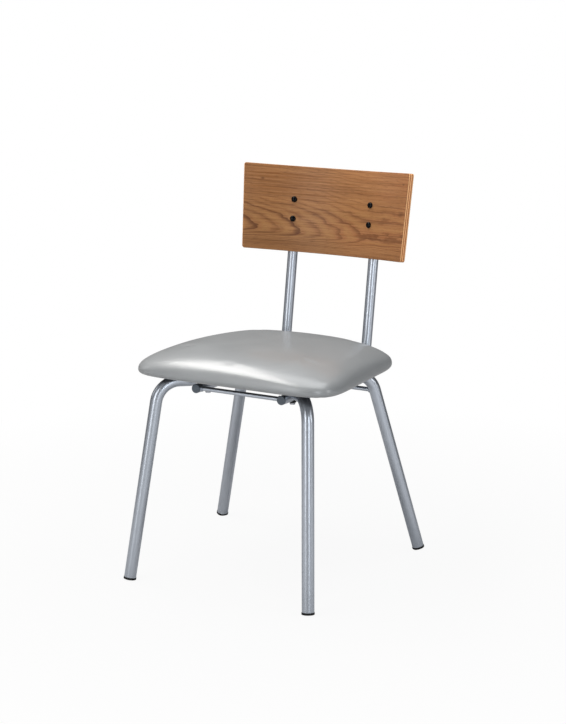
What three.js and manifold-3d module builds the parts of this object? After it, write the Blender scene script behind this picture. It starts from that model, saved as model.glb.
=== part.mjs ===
// A four-legged choir chair: bent steel tube frame, padded vinyl seat and a curved walnut backrest.
//
// Lengths are millimetres, +Z is up and the chair faces -Y. Left and right are as seen from the front.
// The frame is laid out from the line of the front feet. The seat and the back each have a tilted
// group of their own, whose local Y runs rearwards and local Z runs upwards, and the finished chair
// is slid along Y so that its origin is the middle of its box on the floor.

import * as THREE from "three";
import { mergeVertices } from "three/addons/utils/BufferGeometryUtils.js";
import Module from "manifold-3d";

const wasm = await Module();
wasm.setup();

// Driving dimensions of the frame
const legDiameter = 25.4;
const legWall = 1.6;
const legBendRadius = 50;
const railDiameter = 19.1;
const railWall = 1.4;
const uprightWall = 1.2;
const uprightBendRadius = 45;
const rodDiameter = 9.5;

// Where the frame stands, measured back from the line of the front feet and out from the middle
const frontFootHalfSpread = 210.6;
const rearFootHalfSpread = 249.7;
const rearFootSetback = 457.4;
const railHalfSpacing = 99.6;
const railFrontSetback = 96;
const railFrontHeight = 405.8;
const rearRodDrop = 43.3;

// Places in the seat's tilted plane. A leg runs from the corner of its bend in to its seat bolt, and
// each upright's foot slips over the rear end of its rail
const seatTiltDegrees = 3.55;
const frontBoltReach = 48.5;
const seatBoltSpacing = 202;
const frontRunForward = 76;
const frontRunOutward = 73.2;
const rearRunBackward = 53.9;
const rearRunOutward = 54.5;
const sleeveSetback = 33.5;
const sleeveOverlap = 54;
const sleeveToCorner = 105.32;

// The pressed tab at the top of each leg
const tabThickness = 3.2;
const tabHalfWidth = 19;
const tabBackLength = 24;
const tabFrontLength = 15;
const tabPressLength = 15;
const tabCornerLength = 6;

// Seat
const cushionHalfWidth = 218;
const cushionTaper = 21.8;
const cushionHalfDepth = 223;
const cushionCrown = 54.5;
const cushionSideDrop = 11.8;
const cushionDrawIn = 10;
const cushionCornerDrop = 5.7;
const cushionCornerFlatShare = 0.43;
const cushionPlanPower = 6.3;
const cushionCrownPower = 2.64;
const coverThickness = 1.2;
const coverHemWidth = 32;
const boardThickness = 12;
const clothThickness = 0.6;
const clothEdgeWidth = 10;

// Backrest
const backTiltDegrees = 9.3;
const backMiddleHeight = 720.2;
const backHeight = 189.5;
const backTopHalfArc = 211;
const backBottomHalfArc = 202.4;
const backFaceRadius = 369;
const backThickness = 13;
const veneerThickness = 0.7;
const backCornerRadius = 5;
const backBoltSpacing = 43;
const backBoltDrop = 0.5;
const uprightTopReach = 52;

// Fasteners and fittings
const boltDiameter = 6;
const hexHeadWidth = 10;
const hexHeadHeight = 4.2;
const saddleRadius = 8;
const saddleThickness = 2.4;
const saddleWrap = 3;
const spacerRadius = 8;
const tNutFlangeRadius = 9.5;
const tNutFlangeThickness = 1.6;
const tNutBarrelRadius = 4.2;
const tNutBarrelLength = 9;
const domeHeadRadius = 6.7;
const domeHeadHeight = 3.8;
const padRadius = 9;
const padThickness = 1.2;
const padWrap = 2.5;
const capNutHeight = 5;
const capNutDome = 3.5;
const glideLip = 0.7;
const glideRimHeight = 4;
const glideDome = 1.4;
const glideFlatDepth = 1;
const glideStemLength = 16;
const plugHeadThickness = 3;
const plugStemLength = 14;
const plugEdge = 1;
const weldBeadRadius = 2;
const weldSink = 0.7;
const tabBeadLength = 18;
const mouthWeldSize = 2.4;
const rodWeldSize = 2.4;
const rodSetIn = 1.35;

// Clearances
const gap = 0.3;
const holeClearance = 0.4;
const sleeveClearance = 0.35;
const boardClearance = 0.8;
const seatBackClearance = 4.9;
const overrun = 5;

// Mesh fineness, as counts
const tubeSides = 12;
const bendSteps = 6;
const pressSteps = 2;
const smallSides = 8;
const domeSteps = 3;
const cushionSides = 40;
const cushionCrownSteps = 7;
const cushionSideSteps = 2;
const backColumns = 18;
const backCornerSteps = 2;

// Sizes worked out from those above
const legRadius = legDiameter / 2;
const railRadius = railDiameter / 2;
const rodRadius = rodDiameter / 2;
const boltRadius = boltDiameter / 2;
const holeRadius = boltRadius + holeClearance;
const railBore = railRadius - railWall;
const uprightBore = railRadius + sleeveClearance;
const uprightRadius = uprightBore + uprightWall;
const legBore = legRadius - legWall;
const glideRadius = legRadius + glideLip;
const boreFlatShare = Math.cos(Math.PI / tubeSides);
const tabHalf = tabThickness / 2;
const runLift = railRadius + gap + tabHalf;
const clothBottom = runLift + legRadius + gap;
const hemBottom = clothBottom + clothThickness + gap;
const boardBottom = hemBottom + coverThickness + gap;
const boardTop = boardBottom + boardThickness;
const boardInset = cushionDrawIn + coverThickness + boardClearance;
const clothInset = boardInset + clothEdgeWidth;
const frontRodReach = rodRadius + rodWeldSize + rodSetIn;
const rearBoltReach = frontBoltReach + seatBoltSpacing;
const sleeveReach = rearBoltReach + sleeveSetback;
const railLength = sleeveReach + sleeveOverlap;
const uprightCornerReach = sleeveReach + sleeveToCorner;
const backOuterRadius = backFaceRadius + backThickness;
const uprightRadial = backOuterRadius + padThickness + 2 * gap + uprightRadius;
const uprightAngle = Math.asin(railHalfSpacing / uprightRadial);
const uprightDepth = uprightRadial * Math.cos(uprightAngle) - backFaceRadius;
const seatTilt = THREE.MathUtils.degToRad(seatTiltDegrees);
const backTilt = THREE.MathUtils.degToRad(backTiltDegrees);

// The cushion's rear edge stands just clear of the uprights, at the height where it is widest
const cushionWidest = hemBottom + cushionSideDrop;
const uprightFaceReach = uprightCornerReach + cushionWidest * Math.tan(backTilt - seatTilt)
  - uprightRadius / Math.cos(backTilt - seatTilt);
const cushionCentreReach = uprightFaceReach - seatBackClearance - cushionHalfDepth;

const sides = [["left", -1], ["right", 1]];
const ends = ["front", "rear"];
const origin = new THREE.Vector3();
const zAxis = new THREE.Vector3(0, 0, 1);

// Colour, roughness and metalness of each finish
const finishes = {
  silverPaint: { color: 0xa4a7ab, roughness: 0.38, metalness: 0.55 },
  zinc: { color: 0xb9bcc0, roughness: 0.35, metalness: 0.9 },
  blackSteel: { color: 0x151517, roughness: 0.35, metalness: 0.6 },
  blackPlastic: { color: 0x101012, roughness: 0.5, metalness: 0 },
  greyPlastic: { color: 0x6d7175, roughness: 0.55, metalness: 0 },
  plywood: { color: 0xc79a63, roughness: 0.6, metalness: 0 },
  walnut: { color: 0x80552f, roughness: 0.42, metalness: 0 },
  foam: { color: 0xe6dfc4, roughness: 0.95, metalness: 0 },
  vinyl: { color: 0x9c9e9c, roughness: 0.42, metalness: 0 },
  cloth: { color: 0x1b1b1d, roughness: 0.95, metalness: 0 },
};

const chair = new THREE.Group();
const seatGroup = new THREE.Group();
seatGroup.position.set(0, railFrontSetback, railFrontHeight);
seatGroup.rotation.x = -seatTilt;
const backGroup = new THREE.Group();
chair.add(seatGroup, backGroup);
chair.updateMatrixWorld(true);

// The back stands at its height on the line of the uprights, which rises from the corner of their bends
const uprightFoot = inChair(seatGroup, 0, uprightCornerReach, 0);
const backFoot = uprightFoot.z + uprightDepth * Math.sin(backTilt);
const backMiddleSetback = uprightFoot.y - uprightDepth * Math.cos(backTilt)
  + (backMiddleHeight - backFoot) * Math.tan(backTilt);
backGroup.position.set(0, backMiddleSetback, backMiddleHeight);
backGroup.rotation.x = -backTilt;
chair.updateMatrixWorld(true);

/** Adds a named piece with its own material to a group, with its +Z set at a place, along a heading. */
function addPiece(group, name, geometry, finish, place = origin, heading = zAxis) {
  const mesh = new THREE.Mesh(geometry, new THREE.MeshStandardMaterial(finishes[finish]));
  mesh.name = name;
  mesh.position.copy(place);
  mesh.quaternion.setFromUnitVectors(zAxis, heading);
  group.add(mesh);
}

/** A closed geometry as a solid that can be joined and cut. */
function solidOf(geometry) {
  const bare = new THREE.BufferGeometry();
  bare.setAttribute("position", geometry.getAttribute("position"));
  bare.setIndex(geometry.getIndex());
  const welded = mergeVertices(bare);
  return new wasm.Manifold(new wasm.Mesh({
    numProp: 3,
    vertProperties: new Float32Array(welded.getAttribute("position").array),
    triVerts: new Uint32Array(welded.getIndex().array),
  }));
}

/** A solid as a geometry. */
function geometryOf(solid) {
  const mesh = solid.getMesh();
  const geometry = new THREE.BufferGeometry();
  geometry.setAttribute("position", new THREE.BufferAttribute(mesh.vertProperties, 3));
  geometry.setIndex(new THREE.BufferAttribute(mesh.triVerts, 1));
  return geometry;
}

/** The first geometry with each of the others cut out of it. */
function cut(geometry, ...cutters) {
  const solids = cutters.map(solidOf);
  return geometryOf(solids.reduce((body, cutter) => body.subtract(cutter), solidOf(geometry)));
}

/** Several geometries that reach into each other as one body. */
function join(...geometries) {
  return geometryOf(geometries.map(solidOf).reduce((body, other) => body.add(other)));
}

/** Turns a geometry made along +Z to point along a direction, and sets its start at a place. */
function aim(geometry, place, direction) {
  const turn = new THREE.Quaternion().setFromUnitVectors(zAxis, direction.clone().normalize());
  return geometry.applyQuaternion(turn).translate(place.x, place.y, place.z);
}

/** A plain round bar along +Z, from one height to another. */
function bar(radius, low, high, count = smallSides) {
  const geometry = new THREE.CylinderGeometry(radius, radius, high - low, count);
  return geometry.rotateX(Math.PI / 2).translate(0, 0, (low + high) / 2);
}

/** A turned piece about +Z, from radius and height pairs that start and end on the axis or close. */
function turned(profile, count = smallSides) {
  const points = profile.map(([radius, height]) => new THREE.Vector2(radius, height));
  return new THREE.LatheGeometry(points, count).rotateX(Math.PI / 2);
}

/** Profile points of a dome that falls from its crown on the axis to its rim. */
function domeProfile(rimRadius, rimHeight, rise) {
  const points = [];
  for (let step = 0; step <= domeSteps; step++) {
    const angle = (Math.PI / 2) * (1 - step / domeSteps);
    points.push([rimRadius * Math.cos(angle), rimHeight + rise * Math.sin(angle)]);
  }
  points[0][0] = 0;
  return points;
}

/** A point given in a tilted group, in the chair's own frame. */
function inChair(group, x, y, z) {
  return new THREE.Vector3(x, y, z).applyMatrix4(group.matrixWorld);
}

/** A direction given in a tilted group, in the chair's own frame. */
function headingInChair(group, x, y, z) {
  return new THREE.Vector3(x, y, z).transformDirection(group.matrixWorld);
}

// Bent tubes

/** A path whose points and headings are listed, so that rings fall only where a tube needs them. */
class StationPath extends THREE.Curve {
  constructor(stations) {
    super();
    this.stations = stations;
  }

  at(share) {
    return this.stations[Math.round(share * (this.stations.length - 1))];
  }

  getPoint(share, target = new THREE.Vector3()) {
    return target.copy(this.at(share).point);
  }

  getPointAt(share, target) {
    return this.getPoint(share, target);
  }

  getTangentAt(share, target = new THREE.Vector3()) {
    return target.copy(this.at(share).heading);
  }
}

/** A point a given way along a heading. */
function ahead(point, heading, distance) {
  return point.clone().addScaledVector(heading, distance);
}

/** Stations from start to end by way of one corner, which is rounded to the given radius. */
function bentStations(start, corner, end, radius) {
  const arriving = corner.clone().sub(start).normalize();
  const leaving = end.clone().sub(corner).normalize();
  const turn = arriving.angleTo(leaving);
  const inward = leaving.clone().addScaledVector(arriving, -leaving.dot(arriving)).normalize();
  const room = Math.min(corner.distanceTo(start), corner.distanceTo(end)) - gap;
  const fitted = Math.min(radius, room / Math.tan(turn / 2));
  const bendStart = ahead(corner, arriving, -fitted * Math.tan(turn / 2));
  const centre = ahead(bendStart, inward, fitted);
  const stations = [{ point: start, heading: arriving }];
  for (let step = 0; step <= bendSteps; step++) {
    const angle = (turn * step) / bendSteps;
    const out = ahead(centre, inward, -fitted * Math.cos(angle));
    const heading = arriving.clone().multiplyScalar(Math.cos(angle));
    stations.push({
      point: ahead(out, arriving, fitted * Math.sin(angle)),
      heading: heading.addScaledVector(inward, Math.sin(angle)).normalize(),
    });
  }
  stations.push({ point: end, heading: leaving });
  return stations;
}

/** A solid round bar along listed stations. */
function barAlong(stations, radius) {
  const ring = [];
  for (let side = 0; side < tubeSides; side++) {
    const angle = (2 * Math.PI * side) / tubeSides;
    ring.push(new THREE.Vector2(radius * Math.cos(angle), radius * Math.sin(angle)));
  }
  return new THREE.ExtrudeGeometry(new THREE.Shape(ring), {
    steps: stations.length - 1,
    extrudePath: new StationPath(stations),
  });
}

/** The stations with both straight ends drawn out by the given lengths. */
function drawnOut(stations, startLength, endLength) {
  const copy = stations.map(({ point, heading }) => ({ point: point.clone(), heading }));
  copy[0].point.addScaledVector(copy[0].heading, -startLength);
  const last = copy[copy.length - 1];
  last.point.addScaledVector(last.heading, endLength);
  return copy;
}

// Legs

/** The named places of one leg: its foot on the floor, its bend's corner and its seat bolt. */
function legPlaces(end, side) {
  const front = end === "front";
  const footX = side * (front ? frontFootHalfSpread : rearFootHalfSpread);
  const cornerX = side * (railHalfSpacing + (front ? frontRunOutward : rearRunOutward));
  const boltReach = front ? frontBoltReach : rearBoltReach;
  const cornerReach = boltReach + (front ? -frontRunForward : rearRunBackward);
  const foot = new THREE.Vector3(footX, front ? 0 : rearFootSetback, 0);
  const corner = inChair(seatGroup, cornerX, cornerReach, runLift);
  const bolt = inChair(seatGroup, side * railHalfSpacing, boltReach, runLift);
  const up = corner.clone().sub(foot).normalize();
  const run = bolt.clone().sub(corner).normalize();
  const lean = up.angleTo(zAxis);
  const soleReach = (glideRadius * Math.sin(lean) - glideFlatDepth) / Math.cos(lean);
  const tubeEnd = ahead(foot, up, soleReach + glideRimHeight + gap);
  return { side, boltReach, foot, corner, bolt, up, run, tubeEnd };
}

/** Leg stations from the tube's lower end to a place on the run, with extra rings where it is pressed. */
function legStations(places, pressedTo) {
  const pressStart = ahead(places.bolt, places.run, -tabBackLength - tabPressLength);
  const stations = bentStations(places.tubeEnd, places.corner, pressStart, legBendRadius);
  for (let step = 1; step <= pressSteps; step++) {
    const point = ahead(pressStart, places.run, (tabPressLength * step) / pressSteps);
    stations.push({ point, heading: places.run });
  }
  if (pressedTo === "tab") {
    for (const reach of [tabFrontLength - tabCornerLength, tabFrontLength]) {
      stations.push({ point: ahead(places.bolt, places.run, reach), heading: places.run });
    }
  } else {
    stations.splice(stations.length - pressSteps / 2);
  }
  return stations;
}

/** Presses the run's end flat about the seat plane, which also makes it wider. */
function pressFlat(geometry, places, radius, flatHalf) {
  const seatUp = headingInChair(seatGroup, 0, 0, 1);
  const across = seatUp.clone().cross(places.run);
  const position = geometry.getAttribute("position");
  const vertex = new THREE.Vector3();
  for (let index = 0; index < position.count; index++) {
    vertex.fromBufferAttribute(position, index).sub(places.bolt);
    const along = vertex.dot(places.run);
    if (along < -tabBackLength - tabPressLength) {
      continue;
    }
    const pressed = THREE.MathUtils.smoothstep(along, -tabBackLength - tabPressLength, -tabBackLength);
    const limit = THREE.MathUtils.lerp(radius, flatHalf, pressed);
    const rise = vertex.dot(seatUp);
    const offset = vertex.dot(across);
    const spread = THREE.MathUtils.lerp(1, tabHalfWidth / legRadius, pressed);
    const cornerCut = THREE.MathUtils.clamp(along - tabFrontLength + tabCornerLength, 0, tabCornerLength);
    const width = spread * (1 - cornerCut / tabHalfWidth);
    vertex.copy(places.bolt).addScaledVector(places.run, along);
    vertex.addScaledVector(seatUp, THREE.MathUtils.clamp(rise, -limit, limit));
    vertex.addScaledVector(across, offset * width);
    position.setXYZ(index, vertex.x, vertex.y, vertex.z);
  }
  return geometry;
}

/** The weld beads under a tab, in the wedges between it and the flanks of the rail. */
function tabBeads(places) {
  const height = railRadius + gap + weldSink - weldBeadRadius;
  const radial = railRadius + gap + weldBeadRadius;
  const offset = Math.sqrt(radial ** 2 - height ** 2);
  return [-offset, offset].map((flank) => {
    const bead = new THREE.CapsuleGeometry(weldBeadRadius, tabBeadLength, 2, smallSides / 2);
    bead.translate(places.side * railHalfSpacing + flank, places.boltReach, height);
    return bead.applyMatrix4(seatGroup.matrixWorld);
  });
}

/** One leg: a hollow tube, open at its foot and pressed to a drilled tab at its top. */
function legTube(places) {
  const outer = pressFlat(barAlong(legStations(places, "tab"), legRadius), places, legRadius, tabHalf);
  const boreStations = drawnOut(legStations(places, "bore"), overrun, 0);
  const bore = pressFlat(barAlong(boreStations, legBore), places, legBore, 0);
  const seatUp = headingInChair(seatGroup, 0, 0, 1);
  const hole = aim(bar(holeRadius, -overrun, overrun), places.bolt, seatUp);
  return cut(join(outer, ...tabBeads(places)), bore, hole);
}

/** A foot glide: a domed black cap with a stem in the tube, and a flat where it meets the floor. */
function glide(places) {
  const stemRadius = legBore * boreFlatShare - gap;
  const profile = [
    [0, glideDome],
    ...domeProfile(glideRadius, 0, glideDome).slice(1)
      .map(([radius, height]) => [radius, glideDome - height]),
    [glideRadius, glideDome + glideRimHeight],
    [stemRadius, glideDome + glideRimHeight],
    [stemRadius, glideDome + glideRimHeight + glideStemLength],
    [0, glideDome + glideRimHeight + glideStemLength],
  ];
  profile[0][1] = 0;
  const start = ahead(places.tubeEnd, places.up, -gap - glideRimHeight - glideDome);
  const body = aim(turned(profile, tubeSides), start, places.up);
  const floorWidth = 2 * (glideRadius + overrun);
  const floor = new THREE.BoxGeometry(floorWidth, floorWidth, overrun);
  floor.translate(places.foot.x, places.foot.y, -overrun / 2);
  return cut(body, floor);
}

for (const end of ends) {
  for (const [sideName, side] of sides) {
    const places = legPlaces(end, side);
    addPiece(chair, `leg_${end}_${sideName}`, legTube(places), "silverPaint");
    addPiece(chair, `glide_${end}_${sideName}`, glide(places), "blackPlastic");
  }
}

// Rails and uprights

/** Stations of one straight rail, from its front end to its rear end inside the upright's foot. */
function railStations(side) {
  const heading = headingInChair(seatGroup, 0, 1, 0);
  const start = inChair(seatGroup, side * railHalfSpacing, 0, 0);
  return [{ point: start, heading }, { point: ahead(start, heading, railLength), heading }];
}

/** Stations of one upright, from the mouth of its foot, round its bend and up to its top. */
function uprightStations(side) {
  const mouth = inChair(seatGroup, side * railHalfSpacing, sleeveReach, 0);
  const corner = inChair(seatGroup, side * railHalfSpacing, uprightCornerReach, 0);
  const top = inChair(backGroup, side * railHalfSpacing, uprightDepth, uprightTopReach);
  return bentStations(mouth, corner, top, uprightBendRadius);
}

/** The direction from the backrest's centre of curvature out through an upright's bolts. */
function boltHeading(side) {
  return new THREE.Vector3(side * Math.sin(uprightAngle), Math.cos(uprightAngle), 0);
}

/** A point on the line of a back bolt, given by its distance from the centre of curvature. */
function boltPoint(side, radial, height) {
  return boltHeading(side).multiplyScalar(radial).add(new THREE.Vector3(0, -backFaceRadius, height));
}

const seatBoltReaches = { front: frontBoltReach, rear: rearBoltReach };
const backBoltHeights = {
  lower: -backBoltSpacing / 2 - backBoltDrop,
  upper: backBoltSpacing / 2 - backBoltDrop,
};

/** One hollow rail, drilled for its two seat bolts. */
function railTube(side) {
  const stations = railStations(side);
  const bore = barAlong(drawnOut(stations, overrun, overrun), railBore);
  const reach = railRadius + overrun;
  const holes = Object.values(seatBoltReaches).map((along) => {
    const hole = bar(holeRadius, -reach, reach).translate(side * railHalfSpacing, along, 0);
    return hole.applyMatrix4(seatGroup.matrixWorld);
  });
  return cut(barAlong(stations, railRadius), bore, ...holes);
}

/** One hollow upright, drilled for its back bolts, with the ring of weld at its mouth. */
function uprightTube(side) {
  const stations = uprightStations(side);
  const bore = barAlong(drawnOut(stations, overrun, overrun), uprightBore);
  const reach = uprightRadius + overrun;
  const holes = Object.values(backBoltHeights).map((height) => {
    const hole = bar(holeRadius, uprightRadial - reach, uprightRadial + reach);
    aim(hole, new THREE.Vector3(0, -backFaceRadius, height), boltHeading(side));
    return hole.applyMatrix4(backGroup.matrixWorld);
  });
  const { point, heading } = stations[0];
  const weld = turned([
    [railRadius + gap, -mouthWeldSize],
    [uprightRadius, 0],
    [uprightRadius - uprightWall / 2, weldSink],
    [railRadius + gap, weldSink],
    [railRadius + gap, -mouthWeldSize],
  ], tubeSides);
  return join(cut(barAlong(stations, uprightRadius), bore, ...holes), aim(weld, point, heading));
}

/** A tube plug: a head as wide as the tube, with an eased edge, and a stem inside it. */
function plug(tubeRadius, tubeBore) {
  const stemRadius = tubeBore * boreFlatShare - gap;
  return turned([
    [0, -plugStemLength],
    [stemRadius, -plugStemLength],
    [stemRadius, gap],
    [tubeRadius, gap],
    [tubeRadius, gap + plugHeadThickness - plugEdge],
    [tubeRadius - plugEdge, gap + plugHeadThickness],
    [0, gap + plugHeadThickness],
  ], tubeSides);
}

for (const [sideName, side] of sides) {
  addPiece(chair, `rail_${sideName}`, railTube(side), "silverPaint");
  addPiece(chair, `upright_${sideName}`, uprightTube(side), "silverPaint");
  const { point, heading } = railStations(side)[0];
  const forwards = heading.clone().negate();
  addPiece(chair, `rail_plug_${sideName}`, plug(railRadius, railBore), "greyPlastic", point, forwards);
  const top = uprightStations(side).pop();
  const topPlug = plug(uprightRadius, uprightBore);
  addPiece(chair, `upright_plug_${sideName}`, topPlug, "blackPlastic", top.point, top.heading);
}

// Cross rods

/** The point of a straight line from low to high that lies at a height. */
function atHeight(low, high, height) {
  return low.clone().lerp(high, (height - low.z) / (high.z - low.z));
}

/** The fillet of weld round a rod where it lands on a tube, from the tube's axis outwards. */
function rodWeld(start, heading, tubeRadius) {
  const fillet = turned([
    [0, tubeRadius - rodWeldSize],
    [rodRadius + rodWeldSize, tubeRadius - rodWeldSize],
    [rodRadius + rodWeldSize, tubeRadius],
    [rodRadius, tubeRadius + rodWeldSize],
    [0, tubeRadius + rodWeldSize],
  ]);
  return aim(fillet, start, heading);
}

/** A straight rod between the axes of two tubes, welded to both and coped to their outsides. */
function weldedRod([start, end], tubes, tubeRadius) {
  const heading = end.clone().sub(start);
  const rod = aim(bar(rodRadius, 0, heading.length()), start, heading);
  const startWeld = rodWeld(start, heading, tubeRadius);
  const endWeld = rodWeld(end, heading.clone().negate(), tubeRadius);
  return cut(join(rod, startWeld, endWeld), ...tubes);
}

const frontRod = weldedRod(
  sides.map(([, side]) => inChair(seatGroup, side * railHalfSpacing, frontRodReach, 0)),
  sides.map(([, side]) => barAlong(railStations(side), railRadius + gap)),
  railRadius,
);
const rearLegs = sides.map(([, side]) => legPlaces("rear", side));
const rearRod = weldedRod(
  rearLegs.map((places) => atHeight(places.foot, places.corner, railFrontHeight - rearRodDrop)),
  rearLegs.map(({ tubeEnd, corner, bolt }) => (
    barAlong(bentStations(tubeEnd, corner, bolt, legBendRadius), legRadius + gap)
  )),
  legRadius,
);
addPiece(chair, "front_cross_rod", frontRod, "silverPaint");
addPiece(chair, "rear_stretcher_rod", rearRod, "silverPaint");

// Seat cushion, in the seat group's frame

/** A number raised to a power, with its sign kept. */
function signedPower(value, power) {
  return Math.sign(value) * Math.abs(value) ** power;
}

/** A point of the seat's plan: how far round it, as an angle, and how far out, as a share. */
function planPoint(angle, outShare, inset) {
  const across = signedPower(Math.cos(angle), 2 / cushionPlanPower);
  const along = signedPower(Math.sin(angle), 2 / cushionPlanPower);
  const halfWidth = cushionHalfWidth - cushionTaper * along * outShare - inset;
  return {
    x: outShare * across * halfWidth,
    y: cushionCentreReach + outShare * along * (cushionHalfDepth - inset),
    cornerShare: (across * along * outShare ** 2) ** 2,
  };
}

/** One ring of the cushion's skin: a share of the way out, a height and how much the corners drop. */
function cushionRing(outShare, height, drop, inset) {
  const ring = [];
  for (let side = 0; side < cushionSides; side++) {
    const { x, y, cornerShare } = planPoint((2 * Math.PI * side) / cushionSides, outShare, inset);
    ring.push(new THREE.Vector3(x, y, height - drop * cornerShare));
  }
  return ring;
}

/** A closed body from rings that lie above each other, with a flat floor and a point at the top. */
function stack(rings, floor, peak) {
  const count = rings[0].length;
  const points = [...rings.flat(), floor, peak];
  const floorIndex = rings.length * count;
  const faces = [];
  for (let side = 0; side < count; side++) {
    const next = (side + 1) % count;
    faces.push(floorIndex, next, side);
    for (let level = 0; level < rings.length - 1; level++) {
      const low = level * count;
      const high = low + count;
      faces.push(low + side, low + next, high + next, low + side, high + next, high + side);
    }
    const last = (rings.length - 1) * count;
    faces.push(last + side, last + next, floorIndex + 1);
  }
  const geometry = new THREE.BufferGeometry().setFromPoints(points);
  geometry.setIndex(faces);
  return geometry;
}

/** The cushion's outer form, drawn in by an inset all over. Its floor is the hem's underside. */
function cushionForm(inset) {
  const rings = [];
  const floor = hemBottom + inset;
  for (let step = cushionSideSteps; step > 0; step--) {
    const angle = (Math.PI / 2) * (step / cushionSideSteps);
    const drawIn = inset + cushionDrawIn * (1 - Math.cos(angle));
    const height = cushionWidest - (cushionWidest - floor) * Math.sin(angle);
    const drop = cushionCornerDrop * (1 - step / cushionSideSteps);
    rings.push(cushionRing(1, height, drop, drawIn));
  }
  const crown = cushionCrown - inset;
  for (let step = 0; step < cushionCrownSteps; step++) {
    const angle = (Math.PI / 2) * (step / cushionCrownSteps);
    const outShare = Math.cos(angle) ** (2 / cushionCrownPower);
    const rise = crown * Math.sin(angle) ** (2 / cushionCrownPower);
    const drop = cushionCornerDrop + cushionCornerFlatShare * rise;
    rings.push(cushionRing(outShare, cushionWidest + rise, drop, inset));
  }
  const centre = planPoint(0, 0, inset);
  return stack(
    rings,
    new THREE.Vector3(centre.x, centre.y, floor),
    new THREE.Vector3(centre.x, centre.y, cushionWidest + crown),
  );
}

/** The seat's plan, drawn in by an inset, as a flat sheet between two heights. */
function planSheet(inset, low, high) {
  const outline = cushionRing(1, 0, 0, inset).map(({ x, y }) => new THREE.Vector2(x, y));
  const sheet = new THREE.ExtrudeGeometry(new THREE.Shape(outline), {
    depth: high - low,
    bevelEnabled: false,
  });
  return sheet.translate(0, 0, low);
}

/** One copy of a cutter at each seat bolt. */
function atSeatBolts(makeCutter) {
  return sides.flatMap(([, side]) => Object.values(seatBoltReaches).map((reach) => (
    makeCutter().translate(side * railHalfSpacing, reach, 0)
  )));
}

const foamInset = coverThickness + gap;
const hemOpening = planSheet(boardInset + coverHemWidth, hemBottom - overrun, boardBottom + overrun);
addPiece(seatGroup, "seat_cover", cut(cushionForm(0), cushionForm(coverThickness), hemOpening), "vinyl");

const boardPocket = planSheet(boardInset - gap, boardBottom - overrun, boardTop + gap);
addPiece(seatGroup, "seat_foam", cut(cushionForm(foamInset), boardPocket), "foam");

const tNutRecessDepth = tNutFlangeThickness + gap;
const board = cut(
  planSheet(boardInset, boardBottom, boardTop),
  ...atSeatBolts(() => bar(tNutBarrelRadius + gap, boardBottom - overrun, boardTop + overrun)),
  ...atSeatBolts(() => bar(tNutFlangeRadius + gap, boardTop - tNutRecessDepth, boardTop + overrun)),
);
addPiece(seatGroup, "seat_base_board", board, "plywood");

const cloth = cut(
  planSheet(clothInset, clothBottom, clothBottom + clothThickness),
  ...atSeatBolts(() => bar(spacerRadius + gap, clothBottom - overrun, clothBottom + overrun)),
);
addPiece(seatGroup, "seat_dust_cloth", cloth, "cloth");

// Seat bolts and what they clamp

/** A T-nut: a flange on top, sunk in the board, and a barrel that the bolt screws into. */
function tNut() {
  const bore = boltRadius + gap;
  const flangeLow = boardTop - tNutFlangeThickness;
  return turned([
    [bore, boardTop],
    [bore, boardTop - tNutBarrelLength],
    [tNutBarrelRadius, boardTop - tNutBarrelLength],
    [tNutBarrelRadius, flangeLow],
    [tNutFlangeRadius, flangeLow],
    [tNutFlangeRadius, boardTop],
    [bore, boardTop],
  ]);
}

/** A spacer bush between a leg's tab and the seat board. */
function spacer() {
  const low = runLift + tabHalf + gap;
  const high = boardBottom - gap;
  return turned([[holeRadius, low], [spacerRadius, low], [spacerRadius, high], [holeRadius, high],
    [holeRadius, low]]);
}

const saddleLow = -railRadius - gap - saddleThickness;

/** A saddle washer under a rail, hollowed to the rail's round. */
function saddle() {
  const blank = bar(saddleRadius, saddleLow, -railRadius + saddleWrap);
  const rail = bar(railRadius + gap, -saddleRadius - overrun, saddleRadius + overrun, tubeSides);
  const hole = bar(holeRadius, saddleLow - overrun, overrun);
  return cut(blank, rail.rotateX(Math.PI / 2), hole);
}

/** A hexagon-headed seat bolt, from under the saddle up into its T-nut. */
function seatBolt() {
  const headTop = saddleLow - gap;
  const head = bar(hexHeadWidth / Math.sqrt(3), headTop - hexHeadHeight, headTop, 6);
  const shank = bar(boltRadius, headTop - hexHeadHeight / 2, boardTop - gap);
  return join(head, shank);
}

for (const [end, reach] of Object.entries(seatBoltReaches)) {
  for (const [sideName, side] of sides) {
    const place = new THREE.Vector3(side * railHalfSpacing, reach, 0);
    addPiece(seatGroup, `t_nut_${end}_${sideName}`, tNut(), "zinc", place);
    addPiece(seatGroup, `seat_spacer_${end}_${sideName}`, spacer(), "blackPlastic", place);
    addPiece(seatGroup, `seat_bolt_saddle_${end}_${sideName}`, saddle(), "blackPlastic", place);
    addPiece(seatGroup, `seat_bolt_${end}_${sideName}`, seatBolt(), "zinc", place);
  }
}

// Backrest, in the back group's frame

/** Half the backrest's width along its curve at a height, with the corners rounded. */
function backHalfArc(height) {
  const share = height / backHeight + 1 / 2;
  const plain = THREE.MathUtils.lerp(backBottomHalfArc, backTopHalfArc, share);
  const fromEnd = backHeight / 2 - Math.abs(height);
  const short = Math.max(backCornerRadius - fromEnd, 0);
  return plain - backCornerRadius + Math.sqrt(backCornerRadius ** 2 - short ** 2);
}

/** Heights of the rows of the backrest's mesh: close together in the rounded corners. */
function backRows() {
  const rows = [];
  for (let step = 0; step <= backCornerSteps; step++) {
    const angle = (Math.PI / 2) * (step / backCornerSteps);
    rows.push(backHeight / 2 - backCornerRadius * (1 - Math.sin(angle)));
  }
  return [...rows.slice().reverse().map((height) => -height), ...rows];
}

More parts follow.
